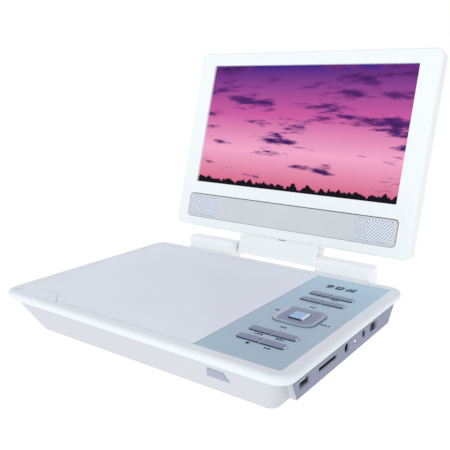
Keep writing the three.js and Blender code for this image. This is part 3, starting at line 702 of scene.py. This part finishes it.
# %% Four-way pad and its centre key
PAD_TOP, PAD_FLOOR, CENTRE_TOP = 0.9, 0.35, 1.5
CENTRE_WIDTH, CENTRE_DEPTH = 12, 12.6
s = Surface()
pad_outline = centred(KEY_X, DPAD_Y, DPAD_WIDTH, DPAD_DEPTH, DPAD_CORNER, 12)
sides = [(-1, CAP_FOOT), (-1, CAP_SKIRT), (0, CAP_SKIRT), (0, PAD_TOP - 0.6)]
lip = quarter(0.6, PAD_TOP - 0.6, PAD_TOP)[1:] + [(1.0, PAD_TOP - 0.03), (3.0, PAD_FLOOR + 0.05),
                                                  (3.4, PAD_FLOOR)]
rings = s.eased(pad_outline, sides + lip)
s.wall(rings)
hole = centred(KEY_X, DPAD_Y, CENTRE_WIDTH + 1.2, CENTRE_DEPTH + 1.2, 1.8)
bore = [s.ring(hole, CAP_FOOT), s.ring(hole, PAD_FLOOR - 0.3)]
bore += s.eased(hole, quarter(0.3, PAD_FLOOR - 0.3, PAD_FLOOR, 3)[1:], -1)
s.wall(bore)
s.cap(rings[0], [bore[0]])
s.cap(rings[-1], [bore[-1]])
pad = make_piece("pad_cap", s, key_blue, "dpad", stands_for=["dpad"], crease=40)
# Painted light: shade down the outer wall, and a painted highlight on the lip, strongest at the left and
# faint at the back.
mark_edges(pad, PAD_TOP - 0.62, 0.3, lambda x, y, z: (
    (z > PAD_FLOOR + 0.02) * (z > 0.3) * np.where(y > DPAD_Y + DPAD_DEPTH / 2 - 3.6, 0.15,
                                                  np.where(x < KEY_X - 13, 0.6, 0.2))))

s = Surface()
key_outline = centred(KEY_X, DPAD_Y, CENTRE_WIDTH, CENTRE_DEPTH, 1.2)
rings = [s.ring(key_outline, CAP_FOOT)]
rings += s.eased(key_outline, quarter(0.5, CENTRE_TOP - 0.5, CENTRE_TOP))
for inset, z in ((2.5, CENTRE_TOP + 0.04), (4.8, CENTRE_TOP + 0.06)):
    inner = centred(KEY_X, DPAD_Y, CENTRE_WIDTH - 2 * inset, CENTRE_DEPTH - 2 * inset, 0.4)
    rings.append(s.ring(inner, z))
s.closed(rings)
centre = make_piece("centre_cap", s, key_bright, "centre_key",
                    stands_for=["centre_key"], crease=40)
# Painted light: shade down the sides, and a painted highlight along the right side.
mark_edges(centre, CENTRE_TOP - 0.1, 0.3,
           lambda x, y, z: (x > KEY_X + CENTRE_WIDTH / 2 - 0.9) * (z > 0.2))
print("pad:", len(pad.data.polygons), "faces; centre key:", len(centre.data.polygons))

# %% [markdown]
# ## The disc lid
# The lid's plate, its round rear edge and the lip under it are already right in the CAD model,
# but its edges are knife sharp. A copy with its triangles joined takes a Bevel modifier, which
# gives the soft hairline highlight that a moulded edge has. The lower case gets the same.

# %% Lid, release key and lower case with eased edges
lid = eased_copy("disc_lid", lid_gloss, 0.25, "lid_shell")
case = eased_copy("bottom_case", case_white, 0.45, "lower_case")
s = slab(rounded(KEY_CORNERS, 0.5, 4), -3.2, -0.1, 0.2, 0.3)
make_piece("release_cap", s, lid_gloss, "lid_release", stands_for=["release_key"])
s = slab(oblong(-110, -86, 11, 16, 0.5, 3), -7.4, -3.1, 0.3, SMALL)
make_piece("release_stem", s, lid_gloss, "lid_release")
print("lid copy has", len(lid.data.polygons), "faces, case", len(case.data.polygons))

# %% [markdown]
# ## The socket panel
# Along the right side runs a slanted block faced with a grey plate. Its openings are cut to each
# socket: a chamfered USB mouth, a card slot, two round jacks, a lamp and a sliding switch. A
# white layer lies under the grey one. Outlines are drawn from the right, y along and z up.

# %% Socket plate
PLATE_FACE, PLATE_THICK, SOCKET_Z = 131, 1.5, -14.7
PLATE_CORNERS = [(20.5, -23.3), (170, -23.3), (182, -9.6), (14, -9.6)]
usb_mouth = [(23.0, SOCKET_Z - 1.4), (24.4, SOCKET_Z - 2.9), (36.2, SOCKET_Z - 2.9),
             (36.2, SOCKET_Z + 2.9), (24.4, SOCKET_Z + 2.9), (23.0, SOCKET_Z + 1.4)]
mouths = [rounded(usb_mouth, 0.4, 3), centred(61.8, SOCKET_Z, 26.2, 3, 0.6, 4),
          ring_of(90.8, SOCKET_Z, 3.5), ring_of(105, SOCKET_Z, 2.3), ring_of(120.6, SOCKET_Z, 3.1),
          centred(138.8, SOCKET_Z, 12.8, 6.4, 1.0, 4)]
plate_outline = shrink(rounded(PLATE_CORNERS, 0.8, 3), 0.4)
skin = slab(rounded(PLATE_CORNERS, 0.4, 3), PLATE_FACE - PLATE_THICK - 0.02, PLATE_FACE - 0.35,
            SMALL, SMALL, mouths, SMALL)
make_piece("socket_block", skin, case_white, "base", "sideways")
face = slab(shrink(plate_outline, 0.15), PLATE_FACE - 0.36, PLATE_FACE, SMALL, 0.2, mouths, 0.2)
make_piece("socket_plate", face, port_grey, "base", "sideways",
           stands_for=["port_panel"])

# %% [markdown]
# ## Sockets, lamp and switch
# A jack is a turned part: a profile of radius against depth, carried round its axis. A formula
# gives each ring, so the same few lines make both jacks and the lamp's dome.

# %% Turned sockets and the switch knob
SOCKET_FACE = PLATE_FACE - 0.8


def turned(profile, y, z, steps=32):
    """A body of revolution about an X axis: each (radius, x) becomes a circle at that depth."""
    s = Surface()
    s.closed([s.ring(ring_of(y, z, max(r, SMALL), steps), x) for r, x in profile])
    return s


def jack_profile(outer, inner, depth, pin):
    """Round the barrel, over its lip, down the bore and up the pin in its floor."""
    lip = [(outer - 0.25, SOCKET_FACE), (inner + 0.25, SOCKET_FACE), (inner, SOCKET_FACE - 0.25)]
    floor = [(inner, SOCKET_FACE - depth + 1.5), (pin, SOCKET_FACE - depth + 1.5)]
    tip = [(pin, SOCKET_FACE - 1.8), (pin * 0.6, SOCKET_FACE - 1.4)] if pin > 0.2 else []
    return [(outer, SOCKET_FACE - depth), (outer, SOCKET_FACE - 0.25), *lip, *floor, *tip]


make_piece("power_inlet", turned(jack_profile(3.4, 2.8, 11, 0.8), 90.8, SOCKET_Z), black_plastic,
           "base", "sideways", stands_for=["dc_inlet"])
make_piece("audio_jack", turned(jack_profile(3.0, 1.8, 11, 0.05), 120.6, SOCKET_Z), black_plastic,
           "base", "sideways", stands_for=["phones_jack"])
dome = [(1.45 * math.cos(a), SOCKET_FACE + 0.3 + 0.9 * math.sin(a)) for a in np.linspace(0, 1.5, 7)]
LAMP_Y = 105
collar = slab(ring_of(LAMP_Y, SOCKET_Z, 2.27), SOCKET_FACE - 0.6, SOCKET_FACE - 0.1, 0.02, 0.05,
              [ring_of(LAMP_Y, SOCKET_Z, 1.5)], 0.02)
make_piece("lamp_ring", collar, black_plastic, "base", "sideways")
make_piece("lamp_dome", turned([(1.45, SOCKET_FACE - 5), *dome], LAMP_Y, SOCKET_Z), led_white, "base",
           "sideways", stands_for=["status_led"])

KNOB_Y = 133.0
s = slab(centred(KNOB_Y + 3.5, SOCKET_Z, 8.2, 6.3, 0.6, 3), SOCKET_FACE - 4.4, SOCKET_FACE - 3, 0.1, 0.1)
slab(centred(KNOB_Y + 3.5, SOCKET_Z, 7, 5.2, 0.8, 4), SOCKET_FACE - 3, SOCKET_FACE + 1.0, SMALL, 0.4,
     surface=s)
for y in np.arange(KNOB_Y + 1.7, KNOB_Y + 5.6, 0.9):
    slab(centred(y, SOCKET_Z, 0.4, 4, 0.15, 2), SOCKET_FACE + 0.8, SOCKET_FACE + 1.5, 0.01, 0.15,
         surface=s)
make_piece("switch_knob", s, knob_grey, "power_switch", "sideways",
           stands_for=["power_knob"])
make_piece("switch_bed", slab(centred(138.8, SOCKET_Z, 13.4, 7, 1.0, 3), SOCKET_FACE - 6,
                              SOCKET_FACE - 4.6, 0.1, 0.1), black_plastic, "base", "sideways")
for node, finish in (("usb_shell", steel), ("usb_tongue", lattice_white), ("card_slot", black_plastic),
                     ("ir_window", window_grey)):
    eased_copy(node, finish, 0.12, name=node + "_detail")
print("sockets done")

# %% [markdown]
# ## Feet and case screws
# Rubber feet are turned too, this time about a vertical axis: a flat pad with an eased edge and a
# shallow ring groove. The screws stay as CAD nodes and only take a new finish.

# %% Feet
FOOT_TOP, FOOT_LOW = -24.52, -26.0
for corner in ("front_left", "front_right", "rear_left", "rear_right"):
    low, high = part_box("foot_" + corner)
    x, y = (low.x + high.x) / 2 / MM, (low.y + high.y) / 2 / MM - rim_low.y / MM
    s = Surface()
    steps = [(6, FOOT_TOP), (6, FOOT_LOW + 0.5), (5.85, FOOT_LOW + 0.15), (5.5, FOOT_LOW),
             (4.4, FOOT_LOW), (4.2, FOOT_LOW + 0.3), (3.6, FOOT_LOW + 0.3), (3.4, FOOT_LOW)]
    s.closed([s.ring(ring_of(x, y, r, 40), z) for r, z in steps])
    make_piece("rubber_" + corner, s, rubber_grey, "base",
               stands_for=["foot_" + corner])
print("feet under", FOOT_TOP)

# %% [markdown]
# ## The centre hinge
# Two knuckles stand on the base and a block swings between them. A knuckle is a box
# rounded everywhere, which is the section outline moved in along a quarter circle at both
# ends. The block leans with the screen, so it is drawn in the screen's ruler.

# %% Knuckles and hinge block
HINGE_Y, HINGE_Z = 211, 4
knuckle_section = oblong(HINGE_Y - 10.4, HINGE_Y + 6.4, HINGE_Z - 18, HINGE_Z + 5.8, 4.2)
for side, sign in (("left", -1), ("right", 1)):
    x0, x1 = sorted((45.6 * sign, 102 * sign))
    make_piece("knuckle_" + side, slab(knuckle_section, x0, x1, 2.6, 2.6), hinge_white, "base",
               "sideways", stands_for=["hinge_cover_" + side])
    saddle = slab(oblong(x0 + 2.6, x1 - 2.6, DEPTH - 4, HINGE_Y - 6, 0.8, 3), -13, -1.4, 0.3, 0.3)
    make_piece("saddle_" + side, saddle, white_gloss, "base")

BLOCK_HALF, BLOCK_LOW, BLOCK_TOP, PARTING = 44.2, -6.4, 13.2, 5.0
front_half = rounded([(PARTING - 0.1, BLOCK_LOW), (PARTING - 0.1, BLOCK_TOP), (-2.4, BLOCK_TOP),
                      (-2.4, BLOCK_LOW)], [SMALL, SMALL, 0.8, 4])
rear_half = rounded([(PARTING + 0.1, BLOCK_LOW), (12.4, BLOCK_LOW), (12.4, BLOCK_TOP),
                     (PARTING + 0.1, BLOCK_TOP)], [SMALL, 6, 0.8, SMALL])
BLOCK_EASE, BLOCK_REACH = 0.6, 8
bends = np.linspace(np.pi / 2, 0, 4)
profile = [(BLOCK_EASE * (1 - math.cos(a)), -BLOCK_HALF + BLOCK_EASE * (1 - math.sin(a))) for a in bends]
profile += [(inset, -depth) for inset, depth in profile[::-1]]
for name, section in (("front", front_half), ("back", rear_half)):
    s = Surface()
    middle = section.mean(0)
    s.closed([s.ring(middle + (section - middle) * (1 - inset / BLOCK_REACH), x) for inset, x in profile])
    make_piece("block_" + name, s, screen_white, "hinge_block", "sideways", on_screen,
               stands_for=["hinge_block_" + name])
print("hinge block spans", 2 * BLOCK_HALF, "mm")

# %% [markdown]
# ## The screen
# The screen is two mouldings round the display: a bezel with a stepped window and a recess for
# the speaker strip, and a shell behind. Both follow the same outline; the bezel's front edge and
# the shell's rear edge are rounded over.

# %% Bezel and rear shell
SCREEN_HALF, SCREEN_LOW, SCREEN_HIGH, SCREEN_CORNER = 129.8, 14, 199, 7
FACE, SPLIT, REAR = -2.5, 4.6, 12.5
LCD_HALF, LCD_LOW, LCD_HIGH = 110.6, 61.2, 185.6
STRIP_HALF, STRIP_LOW, STRIP_HIGH = 115.8, 23.5, 48.5
PLATE_BACK, RECESS_FLOOR = 0.15, -0.3
screen_outline = oblong(-SCREEN_HALF, SCREEN_HALF, SCREEN_LOW, SCREEN_HIGH, SCREEN_CORNER, 12)
cavity = shrink(screen_outline, 2.4)
window = oblong(-LCD_HALF, LCD_HALF, LCD_LOW, LCD_HIGH, 0.6, 4)
recess = oblong(-STRIP_HALF, STRIP_HALF, STRIP_LOW, STRIP_HIGH, 4)

s = Surface()
outer = [s.ring(screen_outline, SPLIT)]
outer += s.eased(screen_outline, quarter(2, FACE + 2, FACE, 6))
inner = [s.ring(cavity, y) for y in (SPLIT, PLATE_BACK)]
frame_edge = [s.ring(window, PLATE_BACK)]
frame_edge += s.eased(window, quarter(0.5, FACE + 0.5, FACE, 4), -1)
basin = [s.ring(shrink(recess, 0), RECESS_FLOOR)]
basin += s.eased(recess, quarter(0.45, FACE + 0.45, FACE, 4), -1)
for rings in (outer, inner, frame_edge, basin):
    s.wall(rings)
s.cap(outer[0], [inner[0]])
s.cap(inner[1], [frame_edge[0]])
s.cap(outer[-1], [frame_edge[-1], basin[-1]])
s.cap(basin[0])
make_piece("bezel", s, screen_white, "screen", "upright", on_screen,
           stands_for=["screen_bezel"])

s = Surface()
outer = [s.ring(screen_outline, SPLIT + 0.3)]
outer += s.eased(screen_outline, quarter(2.6, REAR - 2.6, REAR, 6))
inner = [s.ring(cavity, y) for y in (SPLIT + 0.3, REAR - 2.4)]
s.wall(outer)
s.wall(inner)
s.cap(outer[0], [inner[0]])
s.cap(inner[1])
s.cap(outer[-1])
make_piece("rear_shell", s, screen_white, "screen", "upright", on_screen,
           stands_for=["screen_back"])
for number, (x, z) in enumerate([(-112, 30), (112, 30), (-112, 184), (112, 184)], 1):
    plug = slab(ring_of(x, z, 3.2), REAR - 0.4, REAR + 0.12, 0.05, 0.12)
    make_piece(f"screw_plug_{number}", plug, window_grey, "screen", "upright", on_screen)
print("screen outline has", len(screen_outline), "points")

# %% [markdown]
# ## The display panel
# The picture is on the panel's front. Its UV map runs from 0 to 1 across the visible
# window, worked out from each corner's place, so the sky needs no image.

# %% Display panel with its own UV map
display_outline = oblong(-LCD_HALF - 2.2, LCD_HALF + 2.2, LCD_LOW - 2, LCD_HIGH + 2, 0.8, 3)
s = slab(display_outline, 0.2, 4.5, SMALL, SMALL)
panel = make_piece("display", s, lcd_picture, "screen", "upright", on_screen,
                   stands_for=["lcd_panel"])
corners = np.empty(len(panel.data.loops), np.int32)
panel.data.loops.foreach_get("vertex_index", corners)
places = np.empty(len(panel.data.vertices) * 3)
panel.data.vertices.foreach_get("co", places)
local = (places.reshape(-1, 3) - hinge_point) / MM
u = (local @ right + LCD_HALF) / (2 * LCD_HALF)
v = (local @ up - LCD_LOW) / (LCD_HIGH - LCD_LOW)
layer = panel.data.uv_layers.new(name="picture")
layer.data.foreach_set("uv", np.column_stack([u, v])[corners].astype(np.float32).ravel())
print("picture spans", round(2 * LCD_HALF, 1), "by", round(LCD_HIGH - LCD_LOW, 1), "mm")

# %% [markdown]
# ## Speaker strip and its lattices
# The strip sits in the recess with a hairline gap, wider at the top and right, over a thin black
# sheet: painted shadow seen through the gap. Each speaker is covered by two layers of slanting bars.
# A bar is a line clipped to the opening: for each side of the outline the line enters or leaves,
# and the latest entry and the earliest exit are its ends.

# %% Strip, lattices and cloth
GRILLE_WIDTH, GRILLE_HEIGHT, GRILLE_X = 36, 20, 94.6
STRIP_FRONT, STRIP_BACK = -2.0, -0.5
grille_z = (STRIP_LOW + STRIP_HIGH) / 2
strip_outline = oblong(-STRIP_HALF + 0.25, STRIP_HALF - 0.75, STRIP_LOW + 0.25, STRIP_HIGH - 0.7, 3.6)
patches = {side: centred(sign * GRILLE_X, grille_z, GRILLE_WIDTH, GRILLE_HEIGHT, 3)
           for side, sign in (("left", -1), ("right", 1))}
s = Surface()
rings = [s.ring(strip_outline, STRIP_BACK)]
rings += s.eased(strip_outline, quarter(0.3, STRIP_FRONT + 0.3, STRIP_FRONT, 3))
s.wall(rings)
bores = []
for patch in patches.values():
    bore = [s.ring(patch, STRIP_BACK)]
    bore += s.eased(patch, quarter(0.25, STRIP_FRONT + 0.25, STRIP_FRONT, 3), -1)
    s.wall(bore)
    bores.append(bore)
s.cap(rings[0], [bore[0] for bore in bores])
s.cap(rings[-1], [bore[-1] for bore in bores])
make_piece("strip_plate", s, strip_grey, "screen", "upright", on_screen,
           stands_for=["speaker_strip"])
# A thin black sheet under the strip: painted shadow in the hairline gap.
gap_shadow_sheet = slab(shrink(recess, 0.05), -0.48, -0.32, 0.02, 0.02)
make_piece("strip_gap_shadow", gap_shadow_sheet, black_plastic, "screen", "upright", on_screen)


def clipped(outline, slope, spacing):
    """Both ends of every line of one slant that crosses a convex outline."""
    along = np.array((math.cos(slope), math.sin(slope)))
    across = np.array((-along[1], along[0]))
    middle = outline.mean(0)
    reach = np.abs((outline - middle) @ across).max()
    offsets = np.arange(-reach + spacing / 2, reach, spacing)
    starts = middle + offsets[:, None] * across
    side = np.roll(outline, -1, 0) - outline
    inward = np.column_stack([-side[:, 1], side[:, 0]])
    speed = inward @ along
    away = ((starts[:, None] - outline[None]) * inward[None]).sum(2)
    steep = np.abs(speed) > 1e-9
    t = -away[:, steep] / speed[steep]
    enter = np.where(speed[steep] > 0, t, -np.inf).max(1)
    leave = np.where(speed[steep] < 0, t, np.inf).min(1)
    keep = leave - enter > spacing * 0.4
    return (starts + enter[:, None] * along)[keep], (starts + leave[:, None] * along)[keep], across


def lattice(outline, front, thick, width=1.15, spacing=2.25):
    """Two layers of bars, one slant in front of the other, each bar with a chamfered face."""
    s = Surface()
    for layer_number, slope in enumerate((math.radians(48), math.radians(-48))):
        start, end, across = clipped(outline, slope, spacing)
        y0 = front + layer_number * thick * 0.8
        section = np.array([(-0.5, thick), (-0.5, 0.25), (-0.28, 0),
                            (0.28, 0), (0.5, 0.25), (0.5, thick)])
        for a, b in zip(start, end):
            s.closed([s.ring(tip + across * width * section[:, :1], y0 + section[:, 1])
                      for tip in (a, b)])
    return s


for side, patch in patches.items():
    bars = lattice(shrink(patch, 0.02), STRIP_FRONT + 0.1, 0.5)
    make_piece("lattice_" + side, bars, lattice_white, "screen", "upright", on_screen,
               stands_for=["grille_" + side], crease=25)
    cloth = slab(shrink(patch, 0.1), -0.75, -0.55, 0.02, 0.02)
    make_piece("cloth_" + side, cloth, speaker_cloth, "screen", "upright", on_screen)
print("lattice bars:", len(bars.faces) // 8, "on each side")

# %% [markdown]
# ## Printed marks
# Most keys have a small symbol printed beside them. Plain triangles and bars stand for them
# here, as thin films of ink lying on the plate.

# %% Ink on the control panel
INK = 0.05


def triangle(x, y, size, way=1):
    """Points right when way is 1 and left when it is -1."""
    corners = np.array([(-0.5, -0.6), (0.5, 0), (-0.5, 0.6)]) * size * (way, 1)
    return (corners if way > 0 else corners[::-1]) + (x, y)


def bar(x, y, width, depth):
    return centred(x, y, width, depth, 0.1, 2)


def printed(name, shapes, material, rings=()):
    s = Surface()
    for shape in shapes:
        slab(np.asarray(shape), PANEL_TOP - 0.02, PANEL_TOP + INK, 0.005, 0.01, surface=s)
    for outer_ring, inner_ring in rings:
        slab(outer_ring, PANEL_TOP - 0.02, PANEL_TOP + INK, 0.005, 0.01, [inner_ring], 0.01, surface=s)
    return make_piece(name, s, material, "base")


pairs = [(92.0, 113.0, 1), (92.9, 66.9, -1), (85.5, 47.6, -1), (101.4, 47.6, 1), (102.5, 31.3, 1)]
shapes = [triangle(x + dx, y, 2.5, way) for x, y, way in pairs for dx in (-1.3, 1.3)]
shapes += [bar(73.4, 93.2, 0.9, 2.8), triangle(71.2, 93.2, 2.5, -1)]
shapes += [triangle(113.6, 86.5, 2.5), triangle(116.2, 86.5, 2.5), bar(118.4, 86.5, 0.9, 2.8)]
shapes += [bar(86.9, 31.3, 2.4, 2.8), bar(85.5 - 3.1, 47.6, 0.7, 2.6), bar(101.4 + 3.1, 47.6, 0.7, 2.6)]
shapes += [bar(x, 136.2, 1.6, 2.0) for x in (96.2, 98.4, 100.6)]
printed("marks_dark", shapes, ink_dark)
faint = [bar(x, 136.4, 1.7, 0.9) for x in np.arange(81.0, 91.0, 2.6)]
faint += [bar(x, 119.6, 1.6, 0.7) for x in (83.8, 86.4, 89.0, 91.4)]
faint += [bar(x, 119.6, 1.6, 0.7) for x in (96.4, 99.0, 101.6)]
printed("marks_faint", faint, ink_faint)

# %% [markdown]
# Above the keys stand three badges. A disc, a film frame and a level meter say what the player
# plays without any lettering.

# %% Three badges
disc = [(ring_of(80.8, 165.6, 3.2, 24), ring_of(80.8, 165.6, 1.5, 24)),
        (ring_of(80.8, 165.6, 1.1, 16), ring_of(80.8, 165.6, 0.5, 16))]
film = [(centred(89.6, 165.4, 6.8, 6.8, 0.5, 2), centred(89.6, 165.4, 3.6, 3.8, 0.3, 2))]
badge_bars = [bar(80.8, 161.4, 5.4, 0.8), bar(89.6, 161.4, 6.2, 0.8), triangle(89.7, 165.4, 2.6)]
badge_bars += [bar(96.4 + 2.0 * i, 162.4 + h / 2, 1.5, h) for i, h in enumerate((4.2, 6.6, 5.2, 7.4))]
badge_bars += [bar(99.4, 161.4, 7.6, 0.8)]
printed("badges", badge_bars, ink_grey, disc + film)
print("ink marks:", len(shapes) + len(faint) + len(badge_bars))

# %% [markdown]
# ## What the lid hides
# With the lid open you look into the disc well: a tray, a turntable, the laser sled on its rods,
# and the boards below. Their CAD shapes are right, so they keep them; the ones nearest to
# the eye get eased edges, and the rest only a finish.

# %% Inside the base and the screen
EASED = {"deck_tray": (lid_gloss, 0.4), "turntable": (black_plastic, 0.2),
         "pickup_sled": (black_plastic, 0.25), "drive_chassis": (steel, 0.15)}
for node, (finish, width) in EASED.items():
    eased_copy(node, finish, width)
KEPT = {"steel": (steel, ["lid_pin_left", "lid_pin_right", "guide_rod", "lead_screw", "spindle_motor",
                          "sled_motor", "hinge_bracket", "hinge_axle_left",
                          "hinge_axle_right", "case_screw_front_left", "case_screw_front_right",
                          "case_screw_rear_left", "case_screw_rear_right"]),
        "black": (black_plastic, ["battery_pack", "speaker_left", "speaker_right"]),
        "rubber": (rubber_grey, ["dpad_dome"]),
        "white": (screen_white, ["swivel_shaft"]),
        "board": (circuit_board, ["main_board", "key_board", "display_board"])}
for finish, nodes in KEPT.values():
    for node in nodes:
        for material_slot in frame["nodes"][node].material_slots:
            material_slot.material = finish
shown_plain = [n for n, o in frame["nodes"].items() if not o.hide_render]
print("CAD nodes still shown:", len(shown_plain), sorted(shown_plain))

# %% [markdown]
# ## Table, light and camera
# Soft light from everywhere suits a white object: shape then shows through small differences of
# tone. The world is a little darker overhead and towards the right, and one large lamp in front
# adds a gentle direction. The table glows by itself, so it stays white and takes no shadow.

# %% Table and light
bpy.ops.mesh.primitive_plane_add(size=12, location=(0, 0, 0))
table = bpy.context.object
table.name = "table"
material, tree, shader = new_finish("table_white")
tone = between(tree, grain(tree, 300, 3), 0, 1)
tree.links.new(blend_colours(tree, tone, (0.11, 0.11, 0.112, 1), (0.13, 0.13, 0.13, 1)),
               shader.inputs["Base Color"])
shader.inputs["Roughness"].default_value = 0.9
shader.inputs["Specular IOR Level"].default_value = 0.1
shader.inputs["Emission Color"].default_value = (1, 1, 1, 1)
shader.inputs["Emission Strength"].default_value = 0.95
table.data.materials.append(material)

scene = bpy.context.scene
world = bpy.data.worlds.new("studio")
scene.world = world
world.use_nodes = True
tree = world.node_tree
sky_way = add(tree, "SeparateXYZ", {0: add(tree, "TexCoord").outputs["Generated"]})
sideways = between(tree, sky_way.outputs["X"], 0, 1, -0.9, 0.9)
tone = blend_colours(tree, sideways, (0.98, 0.99, 1.0, 1), (0.74, 0.77, 0.84, 1))
height = between(tree, sky_way.outputs["Z"], 0, 1, 0.0, 0.9)
tone = blend_colours(tree, height, tone, (0.66, 0.69, 0.73, 1))
camera_ray = add(tree, "LightPath").outputs["Is Camera Ray"]
background = tree.nodes["Background"]
tree.links.new(blend_colours(tree, camera_ray, tone, (1, 1, 1, 1)), background.inputs["Color"])
background.inputs["Strength"].default_value = 1.0


def soft_lamp(name, place, target, size, power):
    lamp = bpy.data.lights.new(name, "AREA")
    lamp.shape, lamp.size, lamp.energy = "DISK", size, power
    obj = bpy.data.objects.new(name, lamp)
    obj.location = place
    obj.rotation_mode = "QUATERNION"
    obj.rotation_quaternion = (Vector(target) - Vector(place)).to_track_quat("-Z", "Y")
    scene.collection.objects.link(obj)
    return obj


soft_lamp("front_lamp", (0.1, -1.6, 0.75), (0, 0, 0.08), 1.0, 5.5)
scene.view_settings.view_transform = "Standard"
scene.view_settings.look = "None"
print("stage ready")

# %% [markdown]
# The camera stands to the front right, a little above the lid. Its place is given by two angles,
# a distance and a point on the base; the long lens keeps verticals calm, and a small shift
# frames the open screen.

# %% Camera
AZIMUTH, ELEVATION, ROLL = math.radians(34.50), math.radians(14.29), math.radians(0.39)
target = on_base((0, 150.3, 33.9))
back = np.array((math.sin(AZIMUTH) * math.cos(ELEVATION),
                 -math.cos(AZIMUTH) * math.cos(ELEVATION), math.sin(ELEVATION)))
level = unit(np.cross((0, 0, 1), back))
upright = np.cross(back, level)
camera_right = math.cos(ROLL) * level + math.sin(ROLL) * upright
camera_up = -math.sin(ROLL) * level + math.cos(ROLL) * upright
camera_data = bpy.data.cameras.new("camera")
camera_data.sensor_width, camera_data.lens = 36, 47.54
camera_data.shift_x, camera_data.shift_y = -0.0369, 0.0253
camera_data.clip_start, camera_data.clip_end = 0.01, 50
camera = bpy.data.objects.new("camera", camera_data)
camera.rotation_mode = "QUATERNION"
camera.rotation_quaternion = Matrix(np.column_stack([camera_right, camera_up, back])).to_quaternion()
camera.location = target + back * 0.5236
scene.collection.objects.link(camera)
scene.camera = camera
print("camera at", [round(v, 4) for v in camera.location])

# %% [markdown]
# ## The end
# The last lines update the scene and print how many pieces were made, with their faces.

# %% Finish
bpy.context.view_layer.update()
print("pieces:", len(made), "with", sum(len(piece.data.polygons) for piece in made), "faces")
